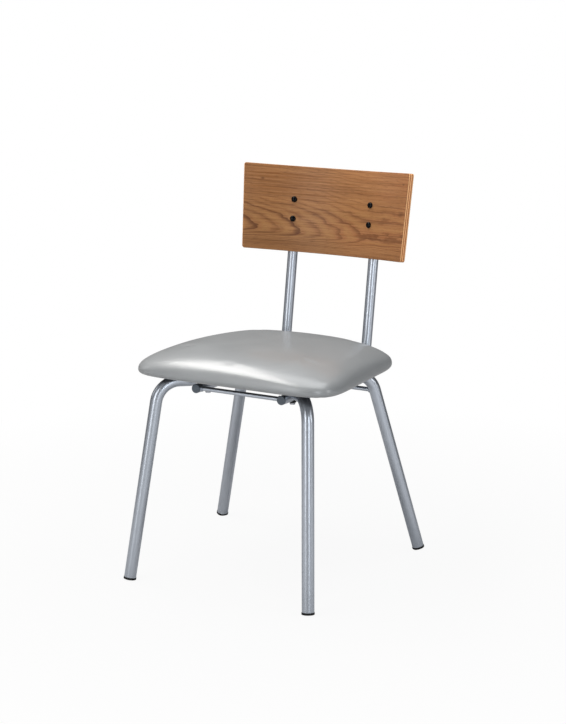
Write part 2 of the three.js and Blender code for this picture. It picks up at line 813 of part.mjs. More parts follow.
/** A curved panel of the backrest's outline, between two depths behind its front face. */
function curvedPanel(frontDepth, rearDepth) {
  const rows = backRows();
  const points = [];
  for (const depth of [frontDepth, rearDepth]) {
    for (const height of rows) {
      for (let column = 0; column <= backColumns; column++) {
        const angle = (backHalfArc(height) / backFaceRadius) * (2 * column / backColumns - 1);
        const radial = backFaceRadius + depth;
        points.push(new THREE.Vector3(
          radial * Math.sin(angle), radial * Math.cos(angle) - backFaceRadius, height));
      }
    }
  }
  const width = backColumns + 1;
  const sheet = rows.length * width;
  const faces = [];
  for (let row = 0; row < rows.length - 1; row++) {
    for (let column = 0; column < backColumns; column++) {
      const near = row * width + column;
      faces.push(near, near + 1, near + width + 1, near, near + width + 1, near + width);
      const far = near + sheet;
      faces.push(far, far + width + 1, far + 1, far, far + width, far + width + 1);
    }
    const left = row * width;
    const right = left + backColumns;
    faces.push(left, left + width, left + width + sheet, left, left + width + sheet, left + sheet);
    faces.push(right, right + width + sheet, right + width, right, right + sheet, right + width + sheet);
  }
  const lastRow = (rows.length - 1) * width;
  for (let column = 0; column < backColumns; column++) {
    const low = column;
    faces.push(low, low + sheet + 1, low + 1, low, low + sheet, low + sheet + 1);
    const high = lastRow + column;
    faces.push(high, high + 1, high + sheet + 1, high, high + sheet + 1, high + sheet);
  }
  const geometry = new THREE.BufferGeometry().setFromPoints(points);
  geometry.setIndex(faces);
  return geometry;
}

const backBoltHoles = sides.flatMap(([, side]) => Object.values(backBoltHeights).map((height) => {
  const hole = bar(holeRadius, backFaceRadius - overrun, backOuterRadius + overrun);
  return aim(hole, boltPoint(side, 0, height), boltHeading(side));
}));
const coreFront = veneerThickness + gap;
const coreRear = backThickness - veneerThickness - gap;
addPiece(backGroup, "backrest_core", cut(curvedPanel(coreFront, coreRear), ...backBoltHoles), "plywood");
addPiece(backGroup, "backrest_front_veneer",
  cut(curvedPanel(0, veneerThickness), ...backBoltHoles), "walnut");
addPiece(backGroup, "backrest_rear_veneer",
  cut(curvedPanel(backThickness - veneerThickness, backThickness), ...backBoltHoles), "walnut");

const nutStart = uprightRadial + uprightRadius + gap + padThickness + gap;

/** A dome-headed bolt from the front of the backrest through its upright into the cap nut. */
function backBolt() {
  const headBack = backFaceRadius - gap;
  const dome = domeProfile(domeHeadRadius, 0, domeHeadHeight);
  return turned([
    ...dome.map(([radius, height]) => [radius, headBack - height]),
    [boltRadius, headBack],
    [boltRadius, nutStart + capNutHeight],
    [0, nutStart + capNutHeight],
  ]);
}

/** A washer on a back bolt, hollowed to the upright's round, between two distances from the centre. */
function saddlePad(side, radius, low, high) {
  const hole = bar(holeRadius, low - overrun, high + overrun);
  const tube = bar(uprightRadius + gap, -radius - overrun, radius + overrun, tubeSides);
  tube.translate(side * railHalfSpacing, uprightDepth, 0);
  const centre = boltPoint(side, 0, 0);
  const heading = boltHeading(side);
  return cut(aim(bar(radius, low, high), centre, heading), aim(hole, centre, heading), tube);
}

/** A cap nut: a hexagon with a dome behind it, and a blind hole for the bolt. */
function capNut() {
  const nutEnd = nutStart + capNutHeight;
  const hexagon = bar(hexHeadWidth / Math.sqrt(3), nutStart, nutEnd, 6);
  const crown = turned([
    [0, nutEnd - gap],
    [hexHeadWidth / 2, nutEnd - gap],
    ...domeProfile(hexHeadWidth / 2, nutEnd, capNutDome).reverse(),
  ]);
  const bore = bar(boltRadius + gap, nutStart - overrun, nutEnd + gap);
  return cut(join(hexagon, crown), bore);
}

const padStart = backOuterRadius + gap;
const nutSaddleEnd = nutStart - gap;
for (const [rowName, height] of Object.entries(backBoltHeights)) {
  for (const [sideName, side] of sides) {
    const name = `${rowName}_${sideName}`;
    const start = boltPoint(side, 0, height);
    const level = new THREE.Vector3(0, 0, height);
    const pad = saddlePad(side, padRadius, padStart, padStart + padThickness + padWrap);
    const nutSaddle = saddlePad(side, saddleRadius, nutSaddleEnd - padThickness - padWrap, nutSaddleEnd);
    addPiece(backGroup, `back_bolt_${name}`, backBolt(), "blackSteel", start, boltHeading(side));
    addPiece(backGroup, `back_pad_${name}`, pad, "blackPlastic", level);
    addPiece(backGroup, `cap_nut_saddle_${name}`, nutSaddle, "blackPlastic", level);
    addPiece(backGroup, `cap_nut_${name}`, capNut(), "zinc", start, boltHeading(side));
  }
}

// The origin goes to the middle of the chair's box, on the floor
chair.updateMatrixWorld(true);
const chairBox = new THREE.Box3().setFromObject(chair, true);
chair.position.y = -(chairBox.min.y + chairBox.max.y) / 2;
chair.updateMatrixWorld(true);

export default chair;
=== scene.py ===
"""A choir chair, dressed as the real one: painted tube frame, padded vinyl seat, walnut-faced backrest.

Lengths are metres, +Z is up and the chair faces -Y. Left and right are as seen from the front. The
seat and the back are modelled in tilted frames of their own, whose local Y runs rearwards and local
Z upwards, and each finished piece is then brought into the chair's frame, with its place in its mesh.
"""

import math
from contextlib import contextmanager

import bmesh
import bpy
import numpy as np
from bpy.props import FloatProperty, FloatVectorProperty, IntProperty, PointerProperty
from mathutils import Matrix, Vector, noise


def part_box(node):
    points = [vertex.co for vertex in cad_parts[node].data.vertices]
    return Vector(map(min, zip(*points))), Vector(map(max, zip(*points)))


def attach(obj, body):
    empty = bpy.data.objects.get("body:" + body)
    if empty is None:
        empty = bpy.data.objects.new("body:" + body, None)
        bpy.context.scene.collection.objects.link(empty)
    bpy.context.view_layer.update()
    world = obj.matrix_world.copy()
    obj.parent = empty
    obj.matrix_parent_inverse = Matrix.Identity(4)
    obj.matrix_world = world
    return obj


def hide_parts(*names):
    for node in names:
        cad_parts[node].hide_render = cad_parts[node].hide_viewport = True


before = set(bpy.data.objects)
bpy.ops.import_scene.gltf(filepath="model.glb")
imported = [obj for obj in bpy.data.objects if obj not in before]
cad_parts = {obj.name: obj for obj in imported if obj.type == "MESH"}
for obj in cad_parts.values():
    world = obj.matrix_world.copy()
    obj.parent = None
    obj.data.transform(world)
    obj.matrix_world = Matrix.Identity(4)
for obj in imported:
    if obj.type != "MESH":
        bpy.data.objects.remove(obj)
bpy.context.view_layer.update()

bl_info = {
    "name": "Choir Chair",
    "version": (1, 0, 0),
    "blender": (4, 5, 0),
    "location": "View3D > Sidebar > Chair",
    "description": "Builds a choir chair around its packed frame, piece by piece",
    "category": "Add Mesh",
}

SIDES = {"left": -1, "right": 1}
ENDS = ("front", "rear")
ORIGIN = Vector((0, 0, 0))
X_AXIS = Vector((1, 0, 0))
Y_AXIS = Vector((0, 1, 0))
Z_AXIS = Vector((0, 0, 1))
GAP = 0.0003
TINY = 1e-6
# Degrees up to which an edge is shaded smooth
SHARP, FIRM, ROUND, SOFT = 35, 40, 50, 60

# The seat's and the back's tilted frames. The seat frame starts on the line of the rails' front ends, set
# back from the line of the front feet
SEAT_TILT = math.radians(3.55)
BACK_TILT = math.radians(9.3)
RAIL_RADIUS = 0.00955
RAIL_SETBACK = 0.096
BACK_FROM_FEET = 0.5267
BACK_MIDDLE_HEIGHT = 0.7202
RAIL_LOW, RAIL_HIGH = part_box("rail_left")
SEAT_ORIGIN = Vector((
    0,
    RAIL_LOW.y + RAIL_RADIUS * math.sin(SEAT_TILT),
    RAIL_HIGH.z - RAIL_RADIUS * math.cos(SEAT_TILT),
))
SEAT_FRAME = Matrix.Translation(SEAT_ORIGIN) @ Matrix.Rotation(-SEAT_TILT, 4, "X")
FEET_LINE = SEAT_ORIGIN.y - RAIL_SETBACK
BACK_MIDDLE = Vector((0, FEET_LINE + BACK_FROM_FEET, BACK_MIDDLE_HEIGHT))
BACK_FRAME = Matrix.Translation(BACK_MIDDLE) @ Matrix.Rotation(-BACK_TILT, 4, "X")

# Tubes
LEG_RADIUS = 0.0127
LEG_WALL = 0.0016
LEG_BEND = 0.05
UPRIGHT_RADIUS = 0.0111
UPRIGHT_WALL = 0.0012
UPRIGHT_BEND = 0.045
ROD_RADIUS = 0.00475
RAIL_WALL = 0.0014
RAIL_HALF_SPACING = 0.0996
RAIL_LENGTH = 0.338
SLEEVE_REACH = 0.284
UPRIGHT_CORNER_REACH = 0.38932
UPRIGHT_TOP = 0.052
FRONT_ROD_REACH = 0.0085
REAR_ROD_HEIGHT = 0.3625
ROD_SINK = 0.001
BORE_DEPTH = 0.03
BEND_STEPS = 18
SMALL_SIDES = 24
HEAD_SIDES = 32
WIDE_SIDES = 40
DRILL_REACH = 0.02

# Legs, by end: the foot's place, the corner of the bend in the seat frame, and the bolt's reach
FEET = {"front": (0.2106, FEET_LINE), "rear": (0.2497, FEET_LINE + 0.4574)}
CORNERS = {"front": (0.1728, -0.0275), "rear": (0.1541, 0.3044)}
BOLT_REACHES = {"front": 0.0485, "rear": 0.2505}
TAB_HALF = 0.0016
TAB_HALF_WIDTH = 0.019
TAB_BACK = 0.024
TAB_FRONT = 0.015
TAB_PRESS = 0.015
TAB_CORNER = 0.006
PRESS_STEPS = 6
RUN_LIFT = RAIL_RADIUS + GAP + TAB_HALF
GLIDE_RADIUS = LEG_RADIUS + 0.0007
GLIDE_RIM = 0.004
GLIDE_DOME = 0.0014
GLIDE_FLAT = 0.001
GLIDE_STEM = 0.016
PLUG_HEAD = 0.003
PLUG_STEM = 0.014
PLUG_EASE = 0.0012
PLUG_CROWN = 0.0002
PLUG_FACE = 0.4

# Weld beads
BEAD_RADIUS = 0.002
BEAD_LENGTH = 0.022
BEAD_SINK = 0.0007
BEAD_SIDES = 10
BEAD_RIPPLES = 9
BEAD_STEPS = 45
ROD_BEAD = 0.0016
SLEEVE_BEAD = 0.0013
SLEEVE_BEAD_OUT = 0.0009

# Seat, in the seat frame
CLOTH_THICKNESS = 0.0006
CLOTH_BOTTOM = RUN_LIFT + LEG_RADIUS + GAP
CLOTH_INSET = 0.022
COVER_THICKNESS = 0.0012
HEM_BOTTOM = CLOTH_BOTTOM + CLOTH_THICKNESS + GAP
BOARD_BOTTOM = HEM_BOTTOM + COVER_THICKNESS + GAP
BOARD_THICKNESS = 0.012
BOARD_TOP = BOARD_BOTTOM + BOARD_THICKNESS
BOARD_INSET = 0.012
HEM_WIDTH = 0.032
HEM_INSET = BOARD_INSET + HEM_WIDTH
SEAT_HALF_WIDTH = 0.218
SEAT_TAPER = 0.0218
SEAT_HALF_DEPTH = 0.223
SEAT_MIDDLE = 0.154
SEAT_PLAN_POWER = 6.3
SEAT_CROWN = 0.0545
SEAT_CROWN_POWER = 2.64
SEAT_WIDEST_RISE = 0.0118
SEAT_WIDEST = HEM_BOTTOM + SEAT_WIDEST_RISE
SEAT_DRAW_IN = 0.010
SEAT_CORNER_DROP = 0.0057
SEAT_CORNER_FLAT = 0.43

# Backrest, in the back frame
BACK_HEIGHT = 0.1895
BACK_TOP_HALF = 0.211
BACK_BOTTOM_HALF = 0.2024
BACK_RADIUS = 0.369
BACK_THICKNESS = 0.013
VENEER = 0.0007
GLUE_LINE = 0.00003
BACK_CORNER = 0.005
BACK_CORNER_STEPS = 8
BACK_EASE_STEPS = 4
BACK_COLUMNS = 56
BACK_BOLT_HEIGHTS = {"lower": -0.022, "upper": 0.021}
PAD_RADIUS = 0.009
PAD_THICKNESS = 0.0012
PAD_WRAP = 0.0025
UPRIGHT_RADIAL = BACK_RADIUS + BACK_THICKNESS + PAD_THICKNESS + 2 * GAP + UPRIGHT_RADIUS
UPRIGHT_ANGLE = math.asin(RAIL_HALF_SPACING / UPRIGHT_RADIAL)
UPRIGHT_DEPTH = UPRIGHT_RADIAL * math.cos(UPRIGHT_ANGLE) - BACK_RADIUS
NUT_START = UPRIGHT_RADIAL + UPRIGHT_RADIUS + PAD_THICKNESS + 2 * GAP
NUT_HEIGHT = 0.005
NUT_DOME = 0.0035
NUT_DOME_SHARE = 0.94

# Fittings
BOLT_RADIUS = 0.003
HOLE_RADIUS = 0.0034
HEX_WIDTH = 0.010
HEX_HEIGHT = 0.0042
HEX_EASE = 0.0005
FITTING_EASE = 0.0006
SADDLE_EASE = 0.0008
SADDLE_RADIUS = 0.008
SADDLE_THICKNESS = 0.0024
SADDLE_WRAP = 0.003
SPACER_RADIUS = 0.008
DOME_RADIUS = 0.0067
DOME_HEIGHT = 0.0038
DOME_SKIRT = 0.0004

# Mesh counts and soft details
COVER_HALF_COUNT = 36
COVER_SIDE_STEPS = 5
COVER_HEM_STEPS = 5
COVER_PUCKER_FROM = 0.8
COVER_PUCKER_POWER = 6
COVER_PUCKER_FALL = 1.6
COVER_PLEATS = 88
SWELL_HELD_BELOW = 0.5
SWELL_FRAMES = 20
SWELL_CLOTH = {
    "quality": 6, "mass": 0.3, "tension_stiffness": 30, "compression_stiffness": 30, "shear_stiffness": 15,
    "bending_stiffness": 2, "use_pressure": True, "vertex_group_mass": "held",
}
CROWN_SAMPLES = 400
OUTLINE_SAMPLES = 4001
FOAM_HALF_COUNT = 20
FOAM_SIDE_STEPS = 3
FOAM_ROOM = 0.0025
CLOTH_HALF_COUNT = 24
CLOTH_SAG = 0.00008
CLOTH_WRINKLE = 0.05
STAPLE_SIZE = (0.010, 0.0012, 0.0006)
STAPLE_COUNT = 72
STAPLE_INSET = 0.005
STAPLE_SKEW = 0.12
STAPLE_TURN = 2.4

# Wood figure, in the backrest's own coordinates. A knot is its place along and up, its size and strength
FIGURE_HEIGHT = -0.050
FIGURE_DEPTH = 0.060
FIGURE_SLOPE = 0.055
FIGURE_END = 0.075
FIGURE_SPREAD_ABOVE = 0.5
FIGURE_SPREAD_BELOW = 1.6
FIGURE_SWAY = 0.035
FIGURE_WANDER = 0.006
RING_SPACING = 0.0028
RING_WANDER = 0.8
KNOTS = ((-0.168, 0.0625, 0.0035, 0.8), (0.193, 0.07, 0.003, 0.8), (0.19, 0.006, 0.008, 0.5))
KNOT_TONE = (74, 42, 24)
KNOT_STRETCH = (0.45, 1, 0)
PLY_THICKNESS = (BACK_THICKNESS - 2 * VENEER) / 5
BACK_FROM_HEIGHT = 0.55

# Tones laid over the walnut's ground in turn, each with its share and its colour
WALNUT_TONES = {
    "rosy": (0.45, (160, 100, 66)),
    "streak": (0.6, (186, 138, 94)),
    "thread": (0.62, (92, 54, 28)),
    "core": (1, (172, 126, 78)),
    "line": (0.85, (84, 46, 24)),
    "pore": (0.6, (66, 38, 20)),
}

# Stage. The floor's whiteness is given at two distances: from, to, white at the first, white at the second.
# The camera sees it by the distance from the chair, and metal and glass by that and by the distance in front
FLOOR_SIZE = 300
FLOOR_SEEN = (0.5, 1.3, 0.93, 1)
FLOOR_IN_FRONT = (-0.4, 0.4, 0.08, 1)
FLOOR_AROUND = (0.25, 1.3, 0.3, 1)
STAGE_FRONT = (0.47, -0.88, 0)
WORLD_STRENGTH = 0.11
WORLD_REFLECTED = 0.05
WARM = (1, 0.965, 0.93)
COOL = (0.93, 0.965, 1)
PLAIN = (1, 1, 1)
# Each lamp's name, place, target, size, power and colour
LAMPS = (
    ("overhead_strip", (-0.85, -0.45, 2.2), (0, -0.15, 0.45), (2.0, 0.6), 38, WARM),
    ("top_panel", (0.4, 0.3, 2.7), (0, 0, 0.4), (2.2, 1.8), 33, PLAIN),
    ("left_softbox", (-0.75, -3.2, 1.3), (0, 0, 0.45), (1.1, 1.9), 25, PLAIN),
    ("right_softbox", (2.5, -2.2, 1.25), (0, 0, 0.4), (1.0, 1.8), 23, COOL),
    ("side_fill", (3.0, 0.2, 1.3), (0, 0, 0.5), (0.8, 1.4), 13, PLAIN),
    ("left_fill", (-2.8, -0.7, 1.5), (0, 0, 0.5), (0.8, 1.4), 5, PLAIN),
)
CAMERA_PLACE = (1.70449, -3.19136, 1.33422)
CAMERA_TURN = (math.radians(90 - 13.967), 0, math.radians(28))
CAMERA_LENS = 87.393


# Selecting and editing


def deselect():
    """Leaves edit mode and selects nothing."""
    if bpy.context.mode != "OBJECT":
        bpy.ops.object.mode_set(mode="OBJECT")
    bpy.ops.object.select_all(action="DESELECT")


def take(piece):
    """Selects one piece alone and makes it active."""
    deselect()
    piece.select_set(True)
    bpy.context.view_layer.objects.active = piece


def named(name):
    """Names the object that an operator has just added."""
    piece = bpy.context.object
    piece.name = name
    piece.data.name = name
    return piece


@contextmanager
def editing(piece):
    """Edit mode on one piece, with nothing selected at first."""
    take(piece)
    bpy.ops.object.mode_set(mode="EDIT")
    bpy.ops.mesh.select_mode(type="VERT")
    bpy.ops.mesh.select_all(action="DESELECT")
    yield
    bpy.ops.object.mode_set(mode="OBJECT")


def pick(test, kind="VERT"):
    """In edit mode, selects the vertices, edges or faces that pass a test, and nothing else."""
    bpy.ops.mesh.select_mode(type=kind)
    bpy.ops.mesh.select_all(action="DESELECT")
    mesh = bmesh.from_edit_mesh(bpy.context.object.data)
    parts = {"VERT": mesh.verts, "EDGE": mesh.edges, "FACE": mesh.faces}[kind]
    for part in parts:
        if test(part):
            part.select_set(True)
    mesh.select_flush_mode()
    bmesh.update_edit_mesh(bpy.context.object.data)


def everything():
    """In edit mode, selects the whole mesh."""
    bpy.ops.mesh.select_mode(type="VERT")
    bpy.ops.mesh.select_all(action="SELECT")


def slice_at(place, axis, **settings):
    """In edit mode, cuts the whole mesh by a plane."""
    everything()
    bpy.ops.mesh.bisect(plane_co=place, plane_no=axis, **settings)


def draw_out(step):
    """In edit mode, extrudes what is selected by a step."""
    bpy.ops.mesh.extrude_region_move(TRANSFORM_OT_translate={"value": tuple(step)})


def place_at(place, heading):
    """The matrix that sets a piece made about +Z at a place, along a heading."""
    return Matrix.Translation(place) @ Z_AXIS.rotation_difference(heading).to_matrix().to_4x4()


def columns(across, along, up, place):
    """The matrix of a frame from its three axes and its origin."""
    turn = Matrix((across, along, up)).transposed().to_4x4()
    return Matrix.Translation(place) @ turn


def apply_place(piece, matrix=None):
    """Puts a piece's place, turn and scale into its mesh, after one more move if that is given."""
    take(piece)
    if matrix is not None:
        piece.matrix_world = matrix @ piece.matrix_world
    bpy.ops.object.transform_apply(location=True, rotation=True, scale=True)
    return piece


def smooth_up_to(piece, degrees=SHARP):
    """Shades a piece smooth, with edges sharper than an angle kept crisp."""
    take(piece)
    bpy.ops.object.shade_smooth_by_angle(angle=math.radians(degrees))
    return piece


def outward(piece):
    """Merges a piece's doubles and turns its faces out."""
    with editing(piece):
        everything()
        bpy.ops.mesh.remove_doubles(threshold=TINY)
        bpy.ops.mesh.normals_make_consistent(inside=False)
    return piece


def modified(piece, kind, **values):
    """Adds one modifier with its values, and applies it."""
    take(piece)
    bpy.ops.object.modifier_add(type=kind)
    modifier = piece.modifiers[-1]
    for name, value in values.items():
        setattr(modifier, name, value)
    bpy.ops.object.modifier_apply(modifier=modifier.name)
    return piece


def joined(name, *parts):
    """Joins finished parts into one piece."""
    take(parts[0])
    for part in parts:
        part.select_set(True)
    bpy.ops.object.join()
    return named(name)


def copied(master, name, matrix=None):
    """A copy of a master with its own mesh, moved by a matrix."""
    take(master)
    bpy.ops.object.duplicate(linked=False)
    return apply_place(named(name), matrix)


def mirrored(master, name):
    """The left-hand copy of a right-hand piece."""
    return outward(copied(master, name, Matrix.Scale(-1, 4, X_AXIS)))


def remove(piece):
    """Deletes a piece that was only a tool or a master."""
    take(piece)
    bpy.ops.object.delete()


def carve(piece, cutter):
    """Cuts a cutter out of a piece and deletes it."""
    modified(piece, "BOOLEAN", operation="DIFFERENCE", solver="EXACT", object=cutter)
    remove(cutter)
    return piece


def drill(radius, place=ORIGIN, heading=Z_AXIS, sides=SMALL_SIDES):
    """A round cutter along a heading, long enough both ways to go through what stands at a place."""
    deselect()
    bpy.ops.mesh.primitive_cylinder_add(vertices=sides, radius=radius, depth=2 * DRILL_REACH)
    return apply_place(named("drill"), place_at(place, heading))


def turned(name, profile, sides=SMALL_SIDES):
    """A piece turned about +Z from an outline of radius and height pairs."""
    deselect()
    bpy.ops.mesh.primitive_plane_add(size=GAP)
    piece = named(name)
    with editing(piece):
        everything()
        bpy.ops.mesh.merge(type="CENTER")
        bpy.ops.transform.translate(value=(profile[0][0], 0, profile[0][1]))
        for (radius, height), (next_radius, next_height) in zip(profile, profile[1:]):
            step = (next_radius - radius, 0, next_height - height)
            bpy.ops.mesh.extrude_vertices_move(TRANSFORM_OT_translate={"value": step})
        everything()
        bpy.ops.mesh.spin(steps=sides, angle=2 * math.pi, center=ORIGIN, axis=Z_AXIS)
    return outward(piece)


def low_corner(radius, height, ease, steps=3, rise=None):
    """Profile points of a rounded lower corner, from the underside out to the side.

    It is as high as it is wide, unless its rise is given.
    """
    rise = rise or ease
    angles = [math.pi / 2 * step / steps for step in range(steps + 1)]
    return [(radius - ease * (1 - math.sin(a)), height + rise * (1 - math.cos(a))) for a in angles]


def high_corner(radius, height, ease, steps=3, rise=None):
    """Profile points of a rounded upper corner, from the side in to the top."""
    return [(r, 2 * height - h) for r, h in reversed(low_corner(radius, height, ease, steps, rise))]


# Tubes, rods and welds


def tube_ring(name, radius, place, heading, sides):
    """A bare ring of vertices across a heading, from which a tube is drawn out."""
    deselect()
    bpy.ops.mesh.primitive_circle_add(vertices=sides, radius=radius)
    return apply_place(named(name), place_at(place, heading))


def round_corner(start, corner, end, bend_radius):
    """In edit mode, draws the selected ring from start, round a corner, to end."""
    arriving = (corner - start).normalized()
    leaving = (end - corner).normalized()
    turn = arriving.angle(leaving)
    inward = (leaving - arriving * leaving.dot(arriving)).normalized()
    reach = bend_radius * math.tan(turn / 2)
    bend_start = corner - arriving * reach
    draw_out(bend_start - start)
    # Spin turns clockwise about its axis, so the turn is negative
    bpy.ops.mesh.spin(
        steps=BEND_STEPS, angle=-turn,
        center=bend_start + inward * bend_radius, axis=arriving.cross(leaving).normalized(),
    )
    draw_out(end - corner - leaving * reach)


def cap_with_bore(at_end, wall, inward_step):
    """In edit mode, closes the tube's end at the vertices that pass a test, and sinks a bore in it."""
    pick(at_end)
    bpy.ops.mesh.edge_face_add()
    bpy.ops.mesh.inset(thickness=wall)
    draw_out(inward_step)


def straight_bar(name, radius, start, end):
    """A solid round bar between two points."""
    piece = tube_ring(name, radius, start, end - start, SMALL_SIDES)
    with editing(piece):
        everything()
        draw_out(end - start)
        for point in (start, end):
            pick(lambda v: (v.co - point).length < radius + TINY)
            bpy.ops.mesh.edge_face_add()
    return outward(piece)


def weld_ring(radius, bead, place, heading):
    """A rippled ring of weld round a rod or tube."""
    deselect()
    ripples = 2 * BEAD_RIPPLES
    bpy.ops.mesh.primitive_torus_add(
        major_segments=2 * ripples, minor_segments=BEAD_SIDES, major_radius=radius, minor_radius=bead)
    piece = named("weld_ring")
    with editing(piece):
        share = 2 * math.pi / ripples
        pick(lambda v: round(math.atan2(v.co.y, v.co.x) / share * 2) % 2 == 0)
        bpy.ops.transform.shrink_fatten(value=-bead * bpy.context.scene.chair_sizes.ripple)
    return apply_place(piece, place_at(place, heading))


def weld_bead():
    """A short rippled bead of weld about +Z."""
    ripple = bpy.context.scene.chair_sizes.ripple
    profile = []
    for step in range(BEAD_STEPS + 1):
        share = 2 * step / BEAD_STEPS - 1
        wave = 1 - ripple * (1 + math.cos(2 * math.pi * BEAD_RIPPLES * share)) / 2
        profile.append((BEAD_RADIUS * wave * max(1 - share ** 4, 0) ** 0.5, share * BEAD_LENGTH / 2))
    return turned("weld_bead", profile, SMALL_SIDES // 2)


def leg_frame(end, side):
    """The frame of a leg's run: +X along it to the seat bolt, +Z up from the seat, the bolt at zero."""
    corner = Vector((side * CORNERS[end][0], CORNERS[end][1], RUN_LIFT))
    bolt = Vector((side * RAIL_HALF_SPACING, BOLT_REACHES[end], RUN_LIFT))
    run = (bolt - corner).normalized()
    return SEAT_FRAME @ columns(run, Z_AXIS.cross(run), Z_AXIS, bolt), (bolt - corner).length


def leg_places(end, side):
    """Where a leg's foot stands, its heading upwards and the lower end of its tube, in the chair's frame."""
    foot = Vector((side * FEET[end][0], FEET[end][1], 0))
    corner = SEAT_FRAME @ Vector((side * CORNERS[end][0], CORNERS[end][1], RUN_LIFT))
    up = (corner - foot).normalized()
    lean = up.angle(Z_AXIS)
    sole = (GLIDE_RADIUS * math.sin(lean) - GLIDE_FLAT) / math.cos(lean)
    return foot, up, foot + up * (sole + GLIDE_RIM + GAP)


def press_tab():
    """In edit mode, draws the selected ring on along +X while it is pressed to a flat tab."""
    before = 1
    for step in range(1, PRESS_STEPS + 1):
        draw_out((TAB_PRESS / PRESS_STEPS, 0, 0))
        share = step / PRESS_STEPS
        pressed = share * share * (3 - 2 * share)
        limit = LEG_RADIUS + (TAB_HALF - LEG_RADIUS) * pressed
        spread = 1 + (TAB_HALF_WIDTH / LEG_RADIUS - 1) * pressed
        reach = TAB_PRESS * share - TAB_BACK - TAB_PRESS
        for sign in (-1, 1):
            pick(lambda v: abs(v.co.x - reach) < GAP and v.co.z * sign > limit)
            bpy.ops.transform.resize(value=(1, 1, 0), center_override=(reach, 0, sign * limit))
        pick(lambda v: abs(v.co.x - reach) < GAP)
        bpy.ops.transform.resize(value=(1, spread / before, 1), center_override=(reach, 0, 0))
        before = spread


def leg_tube(end, side, name):
    """One leg: a round tube, bent over at the top and pressed to a drilled tab under the seat."""
    matrix, run_length = leg_frame(end, side)
    start = matrix.inverted() @ leg_places(end, side)[2]
    corner = Vector((-run_length, 0, 0))
    up = (corner - start).normalized()
    piece = tube_ring(name, LEG_RADIUS, start, up, bpy.context.scene.chair_sizes.tube_sides)
    with editing(piece):
        everything()
        round_corner(start, corner, Vector((-TAB_BACK - TAB_PRESS, 0, 0)), LEG_BEND)
        press_tab()
        draw_out((TAB_BACK + TAB_FRONT - TAB_CORNER, 0, 0))
        draw_out((TAB_CORNER, 0, 0))
        bpy.ops.transform.resize(
            value=(1, 1 - TAB_CORNER / TAB_HALF_WIDTH, 1), center_override=(TAB_FRONT, 0, 0))
        bpy.ops.mesh.edge_face_add()
        cap_with_bore(lambda v: abs((v.co - start).dot(up)) < TINY, LEG_WALL, up * BORE_DEPTH)
    outward(piece)
    return apply_place(carve(piece, drill(HOLE_RADIUS)), matrix)


def tab_beads(end, side):
    """The two beads that hold a leg's tab to the flanks of its rail."""
    height = RAIL_RADIUS + GAP + BEAD_SINK - BEAD_RADIUS
    offset = math.sqrt((RAIL_RADIUS + GAP + BEAD_RADIUS) ** 2 - height ** 2)
    master = weld_bead()
    beads = []
    for flank in (-offset, offset):
        place = Vector((side * RAIL_HALF_SPACING + flank, BOLT_REACHES[end], height))
        beads.append(copied(master, "weld_bead", SEAT_FRAME @ place_at(place, Y_AXIS)))
    remove(master)
    return beads


def rail_point(side, reach):
    """A point of a rail's axis, in the chair's frame."""
    return SEAT_FRAME @ Vector((side * RAIL_HALF_SPACING, reach, 0))


def open_tube(name, radius, wall, start, heading, draw, *path):
    """A tube drawn out along a path from a ring at its start, with its wall inwards."""
    piece = tube_ring(name, radius, start, heading, bpy.context.scene.chair_sizes.tube_sides)
    with editing(piece):
        everything()
        draw(*path)
    outward(piece)
    return modified(piece, "SOLIDIFY", thickness=wall, offset=-1, use_even_offset=True)


def bolt_frame(side, height):
    """The frame of a back bolt: +Z along it to the rear, +Y up, from the backrest's centre of curvature."""
    heading = Vector((side * math.sin(UPRIGHT_ANGLE), math.cos(UPRIGHT_ANGLE), 0))
    across = Z_AXIS.cross(heading)
    return BACK_FRAME @ columns(across, Z_AXIS, heading, Vector((0, -BACK_RADIUS, height)))


def back_drill(side, height, distance):
    """A cutter along a back bolt, about a distance from the backrest's centre of curvature."""
    return apply_place(drill(HOLE_RADIUS, Vector((0, 0, distance))), bolt_frame(side, height))


def coped_rod(name, start, end, tube_radius):
    """A cross rod between the axes of two tubes, with a ring of weld where it lands on each."""
    along = (end - start).normalized()
    low = start + along * (tube_radius - ROD_SINK)
    high = end - along * (tube_radius - ROD_SINK)
    rod = straight_bar(name, ROD_RADIUS, low, high)
    places = (low + along * ROD_SINK, high - along * ROD_SINK)
    welds = [weld_ring(ROD_RADIUS + ROD_BEAD / 2, ROD_BEAD, place, along) for place in places]
    return smooth_up_to(joined(name, rod, *welds), ROUND)


# Small turned and hexagonal fittings


def hexagon(name, low, high):
    """A hexagonal head between two heights, with its rims eased."""
    deselect()
    bpy.ops.mesh.primitive_cylinder_add(
        vertices=6, radius=HEX_WIDTH / math.sqrt(3), depth=high - low, location=(0, 0, (low + high) / 2))
    piece = apply_place(named(name))
    with editing(piece):
        pick(lambda e: all(abs(v.co.z - e.verts[0].co.z) < TINY for v in e.verts), "EDGE")
        bpy.ops.mesh.bevel(offset=HEX_EASE, segments=2, affect="EDGES")
    return piece


def saddle_blank(radius, low, high, ease):
    """A drilled disc between two heights, with its outer rims eased."""
    return turned("saddle", [
        (HOLE_RADIUS, low), *low_corner(radius, low, ease), *high_corner(radius, high, ease),
        (HOLE_RADIUS, high), (HOLE_RADIUS, low),
    ])


def tube_plug(radius, bore):
    """A tube plug: a head as wide as its tube, with a rounded edge, and a stem inside it."""
    stem, head = bore - GAP, GAP + PLUG_HEAD
    return turned("plug", [
        (0, -PLUG_STEM), (stem, -PLUG_STEM), (stem, GAP), (radius, GAP),
        *high_corner(radius, head, PLUG_EASE, 4), (radius * PLUG_FACE, head + PLUG_CROWN),
        (0, head + PLUG_CROWN),
    ], HEAD_SIDES)


